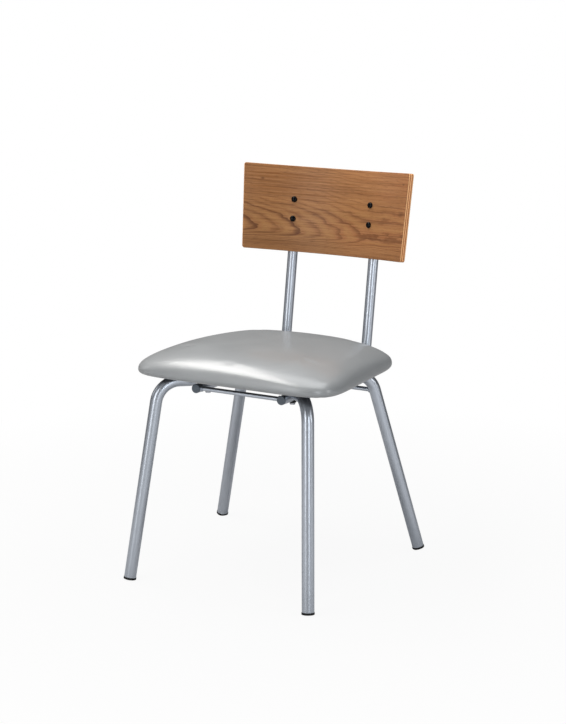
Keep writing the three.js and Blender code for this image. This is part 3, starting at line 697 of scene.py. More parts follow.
def foot_glide():
    """A glide about +Z: its domed sole, its rim as wide as a lip round the tube, and its stem."""
    stem, rim = LEG_RADIUS - LEG_WALL - GAP, GLIDE_DOME + GLIDE_RIM
    return turned("glide", [
        *low_corner(GLIDE_RADIUS, 0, GLIDE_RADIUS, 8, GLIDE_DOME),
        *high_corner(GLIDE_RADIUS, rim, FITTING_EASE),
        (stem, rim), (stem, rim + GLIDE_STEM), (0, rim + GLIDE_STEM),
    ], WIDE_SIDES)


def dome_bolt():
    """A dome-headed back bolt, by its distances from the backrest's centre of curvature."""
    back, end = BACK_RADIUS - GAP, NUT_START + NUT_HEIGHT
    return turned("back_bolt", [
        *low_corner(DOME_RADIUS, back - DOME_HEIGHT, DOME_RADIUS, 9, DOME_HEIGHT - DOME_SKIRT),
        (DOME_RADIUS, back), (BOLT_RADIUS, back), (BOLT_RADIUS, end), (0, end),
    ], HEAD_SIDES)


def cap_nut():
    """A cap nut: a hexagon with a dome behind it."""
    end, radius = NUT_START + NUT_HEIGHT, HEX_WIDTH / 2 * NUT_DOME_SHARE
    crown = turned("crown", [
        (0, end - GAP), (radius, end - GAP), *high_corner(radius, end + NUT_DOME, radius, 7, NUT_DOME)])
    return joined("cap_nut", hexagon("cap_nut", NUT_START, end), crown)


def seat_bolt():
    """A hexagon-headed seat bolt, from under its saddle up into its T-nut."""
    top = -RAIL_RADIUS - SADDLE_THICKNESS - 2 * GAP
    low, high = top - HEX_HEIGHT / 2, BOARD_TOP - GAP
    shank = turned("shank", [(0, low), (BOLT_RADIUS, low), (BOLT_RADIUS, high), (0, high)])
    return joined("seat_bolt", hexagon("seat_bolt", top - HEX_HEIGHT, top), shank)


# The cushion's form, in the seat frame


def seat_plan(across, along, out_share, inset):
    """Points of the seat's plan from their unit direction and share out, and how near a corner each is."""
    half_width = SEAT_HALF_WIDTH - SEAT_TAPER * along * out_share - inset
    x = out_share * across * half_width
    y = SEAT_MIDDLE + out_share * along * (SEAT_HALF_DEPTH - inset)
    return x, y, (across * along * out_share ** 2) ** 2


def plan_direction(u, v):
    """How far out points of a square grid lie, and the direction in which each lies on the plan."""
    square = np.maximum(abs(u), abs(v))
    u, v = u / np.maximum(square, TINY), v / np.maximum(square, TINY)
    power = SEAT_PLAN_POWER
    size = np.maximum((abs(u) ** power + abs(v) ** power) ** (1 / power), 1)
    return square, u / size, v / size


def crown_profile():
    """The crown's profile, by its share of the way along the curve: how far out, and how high."""
    angle = np.linspace(math.pi / 2, 0, CROWN_SAMPLES)
    out_share = np.cos(angle).clip(0) ** (2 / SEAT_CROWN_POWER)
    rise = np.sin(angle).clip(0) ** (2 / SEAT_CROWN_POWER)
    steps = np.hypot(np.diff(out_share * SEAT_HALF_WIDTH), np.diff(rise * SEAT_CROWN))
    reach = np.concatenate([[0], np.cumsum(steps)])
    return reach / reach[-1], out_share, rise


def cushion_points(grid, underside, inset=0.0, slack=0.0):
    """Bends a square pillow of points, from -1 to 1 across and 0 to 1 up, to the cushion's form.

    underside lists shares of the way out with the inset and height of each. The form is drawn in by
    an inset all over, and its crown and sides by a slack that fades to nothing at the underside.
    """
    u, v, level = grid.T
    square, across, along = plan_direction(u, v)
    floor = HEM_BOTTOM + inset
    reach, out_profile, rise_profile = crown_profile()

    out_top = np.interp(square, reach, out_profile)
    rise = np.interp(square, reach, rise_profile) * (SEAT_CROWN - inset - slack)
    x_top, y_top, corner = seat_plan(across, along, out_top, inset + slack)
    z_top = SEAT_WIDEST + rise - (SEAT_CORNER_DROP + SEAT_CORNER_FLAT * rise) * corner

    side_angle = math.pi / 2 * (1 - level)
    draw_in = inset + slack * level + SEAT_DRAW_IN * (1 - np.cos(side_angle))
    x_side, y_side, corner = seat_plan(across, along, 1, draw_in)
    z_side = SEAT_WIDEST - (SEAT_WIDEST - floor) * np.sin(side_angle) - SEAT_CORNER_DROP * level * corner

    shares, insets, heights = (np.array(column) for column in zip(*sorted(underside)))
    under_inset = np.interp(square, shares, insets) + inset
    out_under = np.minimum(square / shares[0], 1)
    x_under, y_under, _ = seat_plan(across, along, out_under, under_inset)
    z_under = np.interp(square, shares, heights) + floor

    on_top = level > 1 - TINY
    on_side = (level > TINY) & ~on_top
    rim = (level <= TINY) & (square > 1 - TINY)
    pick_from = [on_top, on_side | rim]
    return np.stack([
        np.select(pick_from, [top, side], under)
        for top, side, under in ((x_top, x_side, x_under), (y_top, y_side, y_under), (z_top, z_side, z_under))
    ], axis=1)


def square_pillow(name, half_count, side_steps):
    """A closed pillow of even quads: two square grids, bridged round their rims."""
    deselect()
    count = 2 * half_count
    bpy.ops.mesh.primitive_grid_add(x_subdivisions=count, y_subdivisions=count, size=2, location=(0, 0, 1))
    piece = apply_place(named(name))
    with editing(piece):
        everything()
        bpy.ops.mesh.duplicate_move(TRANSFORM_OT_translate={"value": (0, 0, -1)})
        bpy.ops.mesh.flip_normals()
        pick(lambda e: e.is_boundary, "EDGE")
        bpy.ops.mesh.bridge_edge_loops(number_cuts=side_steps - 1)
    return outward(piece)


def points_of(piece):
    """A mesh's vertices as an array."""
    points = np.empty(len(piece.data.vertices) * 3, np.float32)
    piece.data.vertices.foreach_get("co", points)
    return points.reshape(-1, 3).astype(float)


def set_points(piece, points):
    """Moves a mesh's vertices to the points of an array."""
    piece.data.vertices.foreach_set("co", points.astype(np.float32).ravel())
    piece.data.update()


def swell(piece, held, cap, sink):
    """Inflates a padded piece as cloth, with some points held, and caps how far a point may rise or sink."""
    start = points_of(piece)
    outwards = np.array([vertex.normal for vertex in piece.data.vertices])
    take(piece)
    group = piece.vertex_groups.new(name=SWELL_CLOTH["vertex_group_mass"])
    group.add([int(index) for index in np.flatnonzero(held)], 1, "REPLACE")
    bpy.ops.object.modifier_add(type="CLOTH")
    cloth = piece.modifiers[-1]
    for name, value in SWELL_CLOTH.items():
        setattr(cloth.settings, name, value)
    cloth.settings.uniform_pressure_force = bpy.context.scene.chair_sizes.pressure
    cloth.settings.effector_weights.gravity = 0
    cloth.point_cache.frame_end = SWELL_FRAMES
    for step in range(SWELL_FRAMES):
        bpy.context.scene.frame_set(step + 1)
    bpy.ops.object.modifier_apply(modifier=cloth.name)
    bpy.context.scene.frame_set(1)
    piece.vertex_groups.clear()
    rise = ((points_of(piece) - start) * outwards).sum(axis=1, keepdims=True)
    most = np.where(rise > 0, cap, sink)
    set_points(piece, start + outwards * most * np.tanh(rise / most))


def gather_corners(points, grid):
    """Puckers the cover where it is gathered round the underside's corners."""
    u, v, level = grid.T
    square = np.maximum(np.maximum(abs(u), abs(v)), TINY)
    corner = (np.minimum(abs(u), abs(v)) / square) ** COVER_PUCKER_POWER
    outer = np.clip((square - COVER_PUCKER_FROM) / (1 - COVER_PUCKER_FROM), 0, 1)
    lower = np.clip(1 - level * COVER_PUCKER_FALL, 0, 1) * outer * corner
    pleat = (0.5 + 0.5 * np.cos(np.arctan2(v, u) * COVER_PLEATS)) * lower
    inwards = np.array([0, SEAT_MIDDLE, 0]) - points
    inwards[:, 2] = 0
    inwards /= np.maximum(np.linalg.norm(inwards, axis=1, keepdims=True), TINY)
    depth = bpy.context.scene.chair_sizes.pucker
    return points + inwards * (pleat * depth)[:, None] + np.outer(pleat * depth, Z_AXIS)


def seat_cover():
    """The vinyl cover: a swollen skin over the foam, drawn under the board to a hem."""
    piece = square_pillow("seat_cover_vinyl", COVER_HALF_COUNT, COVER_SIDE_STEPS)
    grid = points_of(piece)
    hem_share = 1 - COVER_HEM_STEPS / COVER_HALF_COUNT
    hem = [(hem_share, HEM_INSET, 0), (1, SEAT_DRAW_IN, 0)]
    sizes, quick = bpy.context.scene.chair_sizes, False
    set_points(piece, cushion_points(grid, hem, slack=0 if quick else sizes.slack))
    if not quick:
        swell(piece, grid[:, 2] < SWELL_HELD_BELOW, sizes.swell, sizes.sink)
    set_points(piece, gather_corners(points_of(piece), grid))
    inside = (grid[:, 2] < TINY) & (abs(grid[:, :2]).max(axis=1) < hem_share + TINY)
    with editing(piece):
        pick(lambda f: all(inside[v.index] for v in f.verts), "FACE")
        bpy.ops.mesh.delete(type="FACE")
    modified(piece, "SUBSURF", levels=1, render_levels=1)
    modified(piece, "SOLIDIFY", thickness=COVER_THICKNESS, offset=-1)
    return smooth_up_to(apply_place(piece, SEAT_FRAME), SOFT)


def seat_foam():
    """The foam pad under the cover, with a pocket for the board."""
    piece = square_pillow("seat_foam_pad", FOAM_HALF_COUNT, FOAM_SIDE_STEPS)
    inset = COVER_THICKNESS + FOAM_ROOM
    pocket = [
        (1 - 2 / FOAM_HALF_COUNT, BOARD_INSET - GAP - inset, BOARD_TOP - HEM_BOTTOM),
        (1 - 1 / FOAM_HALF_COUNT, BOARD_INSET - 2 * GAP - inset, 0),
        (1, SEAT_DRAW_IN, 0),
    ]
    set_points(piece, cushion_points(points_of(piece), pocket, inset))
    return smooth_up_to(apply_place(piece, SEAT_FRAME), FIRM)


def seat_outline(inset, count):
    """Even points round the seat's plan at an inset, each with its direction along the edge."""
    angle = np.linspace(0, 2 * math.pi, OUTLINE_SAMPLES)
    across, along = (
        np.sign(wave) * abs(wave) ** (2 / SEAT_PLAN_POWER) for wave in (np.cos(angle), np.sin(angle)))
    x, y, _ = seat_plan(across, along, 1, inset)
    reach = np.concatenate([[0], np.cumsum(np.hypot(np.diff(x), np.diff(y)))])
    stops = (np.arange(count) + 0.5) / count * reach[-1]
    places, ahead = (
        np.stack([np.interp(at, reach, x), np.interp(at, reach, y)], axis=1) for at in (stops, stops + GAP))
    return places, ahead - places


def dust_cloth():
    """The cloth under the seat, with a hole for each spacer. Also gives its flat area."""
    deselect()
    count = 2 * CLOTH_HALF_COUNT
    bpy.ops.mesh.primitive_grid_add(x_subdivisions=count, y_subdivisions=count, size=2)
    piece = named("seat_dust_cloth_sheet")
    u, v, _ = points_of(piece).T
    square, across, along = plan_direction(u, v)
    x, y, _ = seat_plan(across, along, square, CLOTH_INSET)
    sag = [CLOTH_SAG * noise.noise(Vector((a, b, 0)) / CLOTH_WRINKLE) for a, b in zip(x, y)]
    top = CLOTH_BOTTOM + CLOTH_THICKNESS
    set_points(piece, np.stack([x, y, np.full_like(x, top) + np.array(sag) - CLOTH_SAG], axis=1))
    area = sum(face.area for face in piece.data.polygons)
    modified(piece, "SOLIDIFY", thickness=CLOTH_THICKNESS - 2 * CLOTH_SAG, offset=-1)
    hole = SPACER_RADIUS + GAP
    for side in SIDES.values():
        for reach in BOLT_REACHES.values():
            carve(piece, drill(hole, Vector((side * RAIL_HALF_SPACING, reach, CLOTH_BOTTOM))))
            area -= math.pi * hole ** 2
    return smooth_up_to(apply_place(piece, SEAT_FRAME), FIRM), area


def staples():
    """The staples round the dust cloth's edge, as one piece."""
    deselect()
    length, _, wire = STAPLE_SIZE
    bpy.ops.mesh.primitive_cube_add(size=1, scale=STAPLE_SIZE)
    master = apply_place(named("staple"))
    with editing(master):
        for sign in (-1, 1):
            slice_at((sign * (length / 2 - wire), 0, 0), X_AXIS)
        pick(lambda f: f.normal.z > 0.9 and abs(f.calc_center_median().x) > length / 2 - wire, "FACE")
        draw_out((0, 0, 2 * wire))
    parts = []
    places, ahead = seat_outline(CLOTH_INSET + STAPLE_INSET, STAPLE_COUNT)
    for number, ((x, y), (step_x, step_y)) in enumerate(zip(places, ahead)):
        skew = STAPLE_SKEW * math.sin(number * STAPLE_TURN)
        turn = Matrix.Rotation(math.atan2(step_y, step_x) + skew, 4, "Z")
        place = Matrix.Translation((x, y, CLOTH_BOTTOM - wire / 2))
        parts.append(copied(master, "staple", SEAT_FRAME @ place @ turn))
    remove(master)
    return smooth_up_to(joined("seat_staples", *parts))


# Backrest


def back_blank(ease):
    """The backrest's flat blank: a trapezoid with rounded corners and softened edges, its front at Y = 0."""
    deselect()
    bpy.ops.mesh.primitive_plane_add(size=1, rotation=(math.pi / 2, 0, 0))
    piece = apply_place(named("back_blank"))
    with editing(piece):
        everything()
        bpy.ops.transform.resize(value=(2 * BACK_TOP_HALF, 1, BACK_HEIGHT), center_override=ORIGIN)
        pick(lambda v: v.co.z < 0)
        bpy.ops.transform.resize(value=(BACK_BOTTOM_HALF / BACK_TOP_HALF, 1, 1), center_override=ORIGIN)
        everything()
        bpy.ops.mesh.bevel(offset=BACK_CORNER, segments=BACK_CORNER_STEPS, affect="VERTICES")
        everything()
        draw_out((0, BACK_THICKNESS, 0))
        pick(lambda e: abs(e.verts[0].co.y - e.verts[1].co.y) < TINY, "EDGE")
        bpy.ops.mesh.bevel(offset=ease, segments=BACK_EASE_STEPS, affect="EDGES")
    return outward(piece)


def back_layer(blank, name, low, high):
    """One layer of the bent backrest, between two depths behind its front face, drilled for the bolts."""
    piece = copied(blank, name)
    with editing(piece):
        if low > 0:
            slice_at((0, low, 0), Y_AXIS, clear_inner=True, use_fill=True)
        if high < BACK_THICKNESS:
            slice_at((0, high, 0), Y_AXIS, clear_outer=True, use_fill=True)
        for column in range(1, BACK_COLUMNS):
            slice_at((BACK_TOP_HALF * (2 * column / BACK_COLUMNS - 1), 0, 0), X_AXIS)
    half = float(abs(points_of(piece)[:, 0]).max())
    modified(piece, "SIMPLE_DEFORM", deform_method="BEND", deform_axis="Z", angle=-2 * half / BACK_RADIUS)
    apply_place(piece, BACK_FRAME)
    for side in SIDES.values():
        for height in BACK_BOLT_HEIGHTS.values():
            carve(piece, back_drill(side, height, BACK_RADIUS + BACK_THICKNESS / 2))
    return smooth_up_to(piece, FIRM)


# Shader helpers. A tree is a material's, a world's or a group's nodes


def tint(red, green, blue):
    """A colour as the picture shows it, from 0 to 255, as the linear colour of a material."""
    channels = []
    for value in (red, green, blue):
        share = value / 255
        channels.append(share / 12.92 if share <= 0.04045 else ((share + 0.055) / 1.055) ** 2.4)
    return (*channels, 1)


def add(tree, kind, values=None, **settings):
    """Adds a node with its settings, and fills or links its inputs by name or number."""
    node = tree.nodes.new(kind)
    for name, value in settings.items():
        setattr(node, name, value)
    for key, value in (values or {}).items():
        if isinstance(value, bpy.types.NodeSocket):
            tree.links.new(value, node.inputs[key])
        else:
            node.inputs[key].default_value = value
    return node


def calc(tree, operation, *values):
    """A Math node's output."""
    return add(tree, "ShaderNodeMath", dict(enumerate(values)), operation=operation).outputs[0]


def times(tree, product, *others):
    """The product of some values."""
    for value in others:
        product = calc(tree, "MULTIPLY", product, value)
    return product


def swayed(tree, value, source, reach):
    """A value moved both ways by a noise about one half."""
    return calc(tree, "MULTIPLY_ADD", calc(tree, "SUBTRACT", source, 0.5), reach, value)


def long_side(tree, first, second):
    """The length of a right triangle's long side."""
    squares = calc(tree, "ADD", times(tree, first, first), times(tree, second, second))
    return calc(tree, "SQRT", squares)


def vector_calc(tree, operation, *values):
    """A Vector Math node's output, which is a number for a length or a dot product."""
    outputs = add(tree, "ShaderNodeVectorMath", dict(enumerate(values)), operation=operation).outputs
    return outputs["Value" if operation in ("LENGTH", "DOT_PRODUCT") else "Vector"]


def split(tree, vector):
    """A vector's three values."""
    return add(tree, "ShaderNodeSeparateXYZ", {0: vector}).outputs


def blend(tree, factor, first, second, mode="MIX"):
    """A colour Mix node's output."""
    inputs = {0: factor, 6: first, 7: second}
    return add(tree, "ShaderNodeMix", inputs, data_type="RGBA", blend_type=mode).outputs[2]


def varied(tree, factor, colour, low, high):
    """A colour that drifts with a factor between two shares of itself."""
    return blend(tree, factor, *((*(Vector(colour) * share), 1) for share in (low, high)))


def remap(tree, value, low, high, to_low=0.0, to_high=1.0, smooth=False):
    """A Map Range node's output."""
    kind = "SMOOTHSTEP" if smooth else "LINEAR"
    return add(tree, "ShaderNodeMapRange", {0: value, 1: low, 2: high, 3: to_low, 4: to_high},
               interpolation_type=kind).outputs[0]


def stretched(tree, vector, scale, shift=(0, 0, 0)):
    """A vector scaled and shifted by a Mapping node."""
    return add(tree, "ShaderNodeMapping", {"Vector": vector, "Scale": scale, "Location": shift}).outputs[0]


def in_frame(tree, vector, place, tilt):
    """A vector as seen from a frame at a place, tilted back."""
    return add(tree, "ShaderNodeMapping", {
        "Vector": vector, "Location": place, "Rotation": (-tilt, 0, 0),
    }, vector_type="TEXTURE").outputs[0]


def cloudy(tree, vector, scale, detail, roughness=0.5, distortion=0.0):
    """A Noise node's value."""
    return add(tree, "ShaderNodeTexNoise", {
        "Vector": vector, "Scale": scale, "Detail": detail, "Roughness": roughness, "Distortion": distortion,
    }).outputs[0]


def cells(tree, vector, scale, randomness=1.0, feature="F1"):
    """A Voronoi node's distance from the middle of each cell."""
    inputs = {"Vector": vector, "Scale": scale, "Randomness": randomness}
    return add(tree, "ShaderNodeTexVoronoi", inputs, feature=feature).outputs["Distance"]


def node_group(name, **numbers):
    """A named group that is given a vector and some numbers, and what it is given."""
    group = bpy.data.node_groups.new(name, "ShaderNodeTree")
    group.interface.new_socket("Vector", in_out="INPUT", socket_type="NodeSocketVector")
    for socket, value in numbers.items():
        made = group.interface.new_socket(socket, in_out="INPUT", socket_type="NodeSocketFloat")
        made.default_value = value
    return group, group.nodes.new("NodeGroupInput").outputs


def put_out(group, **values):
    """Gives a group one output for each named value, and returns the group."""
    for name in values:
        group.interface.new_socket(name, in_out="OUTPUT", socket_type="NodeSocketFloat")
    out = group.nodes.new("NodeGroupOutput").inputs
    for name, value in values.items():
        group.links.new(value, out[name])
    return group


def surface(name, **constants):
    """A new material and its tree, with the values that don't change set on the shader's own sockets."""
    material = bpy.data.materials.new(name)
    material.use_nodes = True
    sockets = material.node_tree.nodes["Principled BSDF"].inputs
    for socket, value in constants.items():
        sockets[socket.replace("_", " ")].default_value = value
    return material, material.node_tree


def finished(material, colour, height, distance, strength=0.5, roughness=None):
    """Feeds a material's colour, its bump and its roughness, as a value with its two ends, and returns it."""
    tree = material.node_tree
    sockets = tree.nodes["Principled BSDF"].inputs
    tree.links.new(colour, sockets["Base Color"])
    if roughness:
        value, low, high = roughness
        tree.links.new(remap(tree, value, 0, 1, low, high), sockets["Roughness"])
    bump = add(tree, "ShaderNodeBump", {"Height": height, "Distance": distance, "Strength": strength})
    tree.links.new(bump.outputs[0], sockets["Normal"])
    return material


def placed_on(tree):
    """Object coordinates, which are the chair's own lengths."""
    return add(tree, "ShaderNodeTexCoord").outputs["Object"]


# Node groups


def mottle_group():
    """Slow unevenness and fine speckle, each from 0 to 1."""
    group, given = node_group("Mottle", Broad=30.0, Fine=2000.0)
    broad = cloudy(group, given["Vector"], given["Broad"], 4)
    fine = cloudy(group, given["Vector"], given["Fine"], 2, 0.6)
    return put_out(group, Broad=remap(group, broad, 0.3, 0.7), Fine=remap(group, fine, 0.25, 0.75))


def board_group():
    """Coordinates of the bent backrest: along its curve, up it, and its depth behind the front face."""
    group, given = node_group("Board Coordinates")
    x, y, z = split(group, in_frame(group, given["Vector"], BACK_MIDDLE, BACK_TILT))
    from_centre = calc(group, "ADD", y, BACK_RADIUS)
    along = times(group, calc(group, "ARCTAN2", x, from_centre), BACK_RADIUS)
    depth = calc(group, "SUBTRACT", long_side(group, x, from_centre), BACK_RADIUS)
    return put_out(group, Along=along, Up=z, Depth=depth)


def fibre_group():
    """Wood fibre along X: fine streaks and the short dark pores among them."""
    group, given = node_group("Wood Fibre", Seed=0.0)
    shift = add(group, "ShaderNodeCombineXYZ", {2: given["Seed"]}).outputs[0]
    vector = vector_calc(group, "ADD", given["Vector"], shift)
    streak = cloudy(group, stretched(group, vector, (5, 260, 60)), 1, 5, 0.6)
    pore = cloudy(group, stretched(group, vector, (55, 1500, 900)), 1, 2, 0.5)
    return put_out(
        group, Streak=remap(group, streak, 0.3, 0.7), Pore=remap(group, pore, 0.58, 0.7, smooth=True))


GROUP_MAKERS = {"Mottle": mottle_group, "Board Coordinates": board_group, "Wood Fibre": fibre_group}


def effect(tree, name, **values):
    """Places a shared node group in a material, making it the first time."""
    group = bpy.data.node_groups.get(name) or GROUP_MAKERS[name]()
    return add(tree, "ShaderNodeGroup", values, node_tree=group).outputs


# Finishes


def board_place(tree):
    """The backrest's own coordinates as one vector, and each of them by itself."""
    values = effect(tree, "Board Coordinates", Vector=placed_on(tree))
    along, up, depth = (values[name] for name in ("Along", "Up", "Depth"))
    return add(tree, "ShaderNodeCombineXYZ", {0: along, 1: up, 2: depth}).outputs[0], along, up, depth


def silver_paint():
    """Satin silver paint over steel, with a fine flake."""
    look = bpy.context.scene.chair_looks
    material, tree = surface("Silver Paint", Metallic=0.92, Specular_IOR_Level=0.3)
    mottle = effect(tree, "Mottle", Vector=placed_on(tree), Broad=26.0, Fine=2600.0)
    base = varied(tree, mottle["Broad"], look.paint, 0.97, 1.02)
    colour = blend(tree, 1.0, base, remap(tree, mottle["Fine"], 0, 1, 0.94, 1.06), "MULTIPLY")
    rough = look.paint_roughness
    return finished(material, colour, mottle["Fine"], distance=0.00001, strength=0.3,
                    roughness=(mottle["Broad"], rough - 0.008, rough + 0.008))


def vinyl():
    """Smooth grey vinyl with a fine grain."""
    look = bpy.context.scene.chair_looks
    material, tree = surface(
        "Grey Vinyl", Metallic=0.18, Specular_IOR_Level=0.4, Coat_Weight=0.4, Coat_Roughness=0.2)
    place = placed_on(tree)
    mottle = effect(tree, "Mottle", Vector=place, Broad=14.0, Fine=900.0)
    colour = varied(tree, mottle["Broad"], look.vinyl, 0.965, 1.03)
    grain = calc(tree, "MULTIPLY_ADD", mottle["Fine"], 0.5, cells(tree, place, 1100.0, feature="SMOOTH_F1"))
    rough = look.vinyl_roughness
    return finished(material, colour, grain, distance=0.00006,
                    roughness=(mottle["Broad"], rough - 0.03, rough + 0.03))


def walnut():
    """Satin lacquered walnut veneer, cut flat so that its rings show as a cathedral figure."""
    look = bpy.context.scene.chair_looks
    material, tree = surface("Walnut Veneer", Specular_IOR_Level=0.24)
    board, along, up, _ = board_place(tree)
    slow = cloudy(tree, stretched(tree, board, (4, 9, 0)), 1, 2)
    wander = cloudy(tree, stretched(tree, board, (20, 60, 0), (3, 1, 0)), 1, 3)
    zones = cloudy(tree, stretched(tree, board, (3.5, 28, 0), (7, 2, 0)), 1, 4, 0.6)
    thread = cloudy(tree, stretched(tree, board, (4, 330, 0), (1, 5, 0)), 1, 3, 0.55)
    fibre = effect(tree, "Wood Fibre", Vector=board, Seed=0.0)

    # Rings cut near their middle: arches that open to the left in the figure, and fine lines above it
    height = calc(tree, "SUBTRACT", up, FIGURE_HEIGHT)
    height = swayed(tree, swayed(tree, height, slow, FIGURE_SWAY), wander, FIGURE_WANDER)
    above = times(tree, calc(tree, "MAXIMUM", height, 0), FIGURE_SPREAD_ABOVE)
    below = times(tree, calc(tree, "MINIMUM", height, 0), FIGURE_SPREAD_BELOW)
    depth = calc(tree, "MULTIPLY_ADD", calc(tree, "MINIMUM", along, FIGURE_END), FIGURE_SLOPE, FIGURE_DEPTH)
    from_heart = long_side(tree, calc(tree, "ADD", above, below), depth)
    ring = swayed(tree, calc(tree, "DIVIDE", from_heart, RING_SPACING), wander, RING_WANDER)
    phase = calc(tree, "FRACT", ring)
    number = calc(tree, "FLOOR", ring)
    year = add(tree, "ShaderNodeTexWhiteNoise", {"W": number}, noise_dimensions="1D").outputs["Value"]
    masks = {
        "rosy": remap(tree, calc(tree, "MULTIPLY_ADD", along, 1.2, slow), 0.5, 0.75, smooth=True),
        "streak": fibre["Streak"],
        "thread": remap(tree, thread, 0.5, 0.68),
        "core": times(tree, remap(tree, phase, 0.05, 0.3, smooth=True), remap(tree, phase, 0.75, 0.4),
                      remap(tree, up, -0.01, 0.03, 0.45, 0.1)),
        "line": times(tree, remap(tree, phase, 0.6, 0.93, smooth=True), remap(tree, phase, 1.0, 0.95),
                      remap(tree, year, 0, 1, 0.35, 1), remap(tree, up, -0.02, 0.04, 1, 0.35)),
        "pore": fibre["Pore"],
    }
    ground = blend(tree, remap(tree, zones, 0.34, 0.66), (*look.walnut_dark, 1), (*look.walnut_light, 1))
    for name, (share, colour) in WALNUT_TONES.items():
        ground = blend(tree, times(tree, masks[name], share), ground, tint(*colour))
    for knot_along, knot_up, size, strength in KNOTS:
        offset = vector_calc(tree, "SUBTRACT", board, (knot_along, knot_up, 0))
        length = vector_calc(tree, "LENGTH", stretched(tree, offset, KNOT_STRETCH))
        spot = remap(tree, swayed(tree, length, wander, size), size, 0, 0, strength, smooth=True)
        ground = blend(tree, spot, ground, tint(*KNOT_TONE))
    dip = calc(tree, "SUBTRACT", times(tree, fibre["Streak"], 0.3), fibre["Pore"])
    rough = look.wood_roughness
    return finished(material, ground, dip, distance=0.00005,
                    roughness=(fibre["Streak"], rough + 0.05, rough - 0.03))


def ply_colours(tree, vector, depth, seed):
    """The colours of stacked plies: pale along the grain, darker across it, with thin glue lines."""
    look = bpy.context.scene.chair_looks
    layer = calc(tree, "DIVIDE", depth, PLY_THICKNESS)
    across = calc(tree, "GREATER_THAN", calc(tree, "FRACT", times(tree, layer, 0.5)), 0.5)
    fibre = effect(tree, "Wood Fibre", Vector=vector, Seed=seed)
    pale = varied(tree, fibre["Streak"], look.ply_light, 1, 0.86)
    dark = varied(tree, fibre["Streak"], look.ply_dark, 1, 0.8)
    glue = remap(tree, calc(tree, "PINGPONG", calc(tree, "FRACT", layer), 0.5), 0.09, 0.02)
    colour = blend(tree, times(tree, glue, 0.55), blend(tree, across, pale, dark), tint(120, 66, 30))
    return blend(tree, times(tree, fibre["Pore"], 0.3), colour, tint(120, 72, 38)), fibre["Streak"]


def plywood():
    """Lacquered plywood, whose plies show at the backrest's edge and at the board's."""
    material, tree = surface("Plywood", Specular_IOR_Level=0.4)
    place = placed_on(tree)
    board, _, _, depth = board_place(tree)
    seat = in_frame(tree, place, SEAT_ORIGIN, SEAT_TILT)
    back_colour, streak = ply_colours(tree, board, calc(tree, "SUBTRACT", depth, VENEER), 3.0)
    seat_depth = calc(tree, "SUBTRACT", split(tree, seat)["Z"], BOARD_BOTTOM)
    seat_colour, _ = ply_colours(tree, seat, seat_depth, 7.0)
    in_back = calc(tree, "GREATER_THAN", split(tree, place)["Z"], BACK_FROM_HEIGHT)
    rough = bpy.context.scene.chair_looks.wood_roughness
    return finished(material, blend(tree, in_back, seat_colour, back_colour), streak, distance=0.00006,
                    roughness=(streak, rough + 0.06, rough))


def plated(name, colour, other, metallic, roughness):
    """A plated steel finish that drifts between two colours."""
    material, tree = surface(name, Metallic=metallic, Specular_IOR_Level=0.1)
    mottle = effect(tree, "Mottle", Vector=placed_on(tree), Broad=260.0, Fine=3000.0)
    return finished(material, blend(tree, mottle["Broad"], colour, other), mottle["Fine"], distance=0.00003,
                    strength=0.4, roughness=(mottle["Broad"], roughness - 0.05, roughness + 0.06))


def moulded(name, colour, scuff, roughness):
    """Moulded plastic with a fine texture and a little scuffing."""
    material, tree = surface(name, Specular_IOR_Level=0.25)
    mottle = effect(tree, "Mottle", Vector=placed_on(tree), Broad=180.0, Fine=2400.0)
    worn = remap(tree, times(tree, mottle["Broad"], mottle["Fine"]), 0.45, 0.9, smooth=True)
    return finished(material, blend(tree, worn, colour, scuff), mottle["Fine"], distance=0.00006,
                    roughness=(mottle["Fine"], roughness, roughness + 0.12))


def foam():
    """Open-celled cream foam, with painted shade in its pits."""
    material, tree = surface("Cream Foam", Specular_IOR_Level=0.1, Roughness=0.95)
    place = placed_on(tree)
    pits = cells(tree, place, 700.0)
    mottle = effect(tree, "Mottle", Vector=place, Broad=25.0, Fine=1500.0)
    colour = blend(tree, mottle["Broad"], tint(236, 228, 200), tint(218, 204, 166))
    # Painted shade: the pits, which are the bump's low points, are painted a darker cream
    colour = blend(tree, remap(tree, pits, 0.2, 0.6), tint(196, 180, 140), colour)
    return finished(material, colour, pits, distance=0.0004, strength=0.7)


def dust_cloth_finish():
    """Black spun-bonded cloth, pressed with a small pattern of points."""
    material, tree = surface("Spun Cloth", Specular_IOR_Level=0.25, Sheen_Weight=0.2)
    place = placed_on(tree)
    threads = cloudy(tree, stretched(tree, place, (900, 300, 300)), 1, 4, 0.7, 1.5)
    pressed = remap(tree, cells(tree, place, 520.0, 0.15), 0.3, 0.18)
    colour = blend(tree, threads, tint(20, 20, 22), tint(46, 46, 49))
    return finished(material, blend(tree, pressed, colour, tint(12, 12, 13)),
                    calc(tree, "SUBTRACT", threads, pressed), distance=0.0002, strength=0.6,
                    roughness=(threads, 0.8, 0.98))


FINISHES = {
    "silver_paint": silver_paint,
    "vinyl": vinyl,
    "walnut_veneer": walnut,
    "plywood": plywood,
    "zinc": lambda: plated("Zinc Plate", tint(196, 198, 202), tint(172, 175, 184), 1.0, 0.3),
    "black_steel": lambda: plated("Black Plate", tint(6, 6, 7), tint(3, 3, 4), 0.0, 0.14),
    "black_plastic": lambda: moulded("Black Plastic", tint(11, 11, 12), tint(30, 30, 32), 0.45),
    "grey_plastic": lambda: moulded("Grey Plastic", tint(106, 114, 123), tint(132, 138, 146), 0.48),
    "foam": foam,
    "dust_cloth": dust_cloth_finish,
}
made_finishes = {}


def finish_of(slot):
    """The material of a slot, made the first time it is asked for."""
    if slot not in made_finishes:
        made_finishes[slot] = FINISHES[slot]()
    return made_finishes[slot]


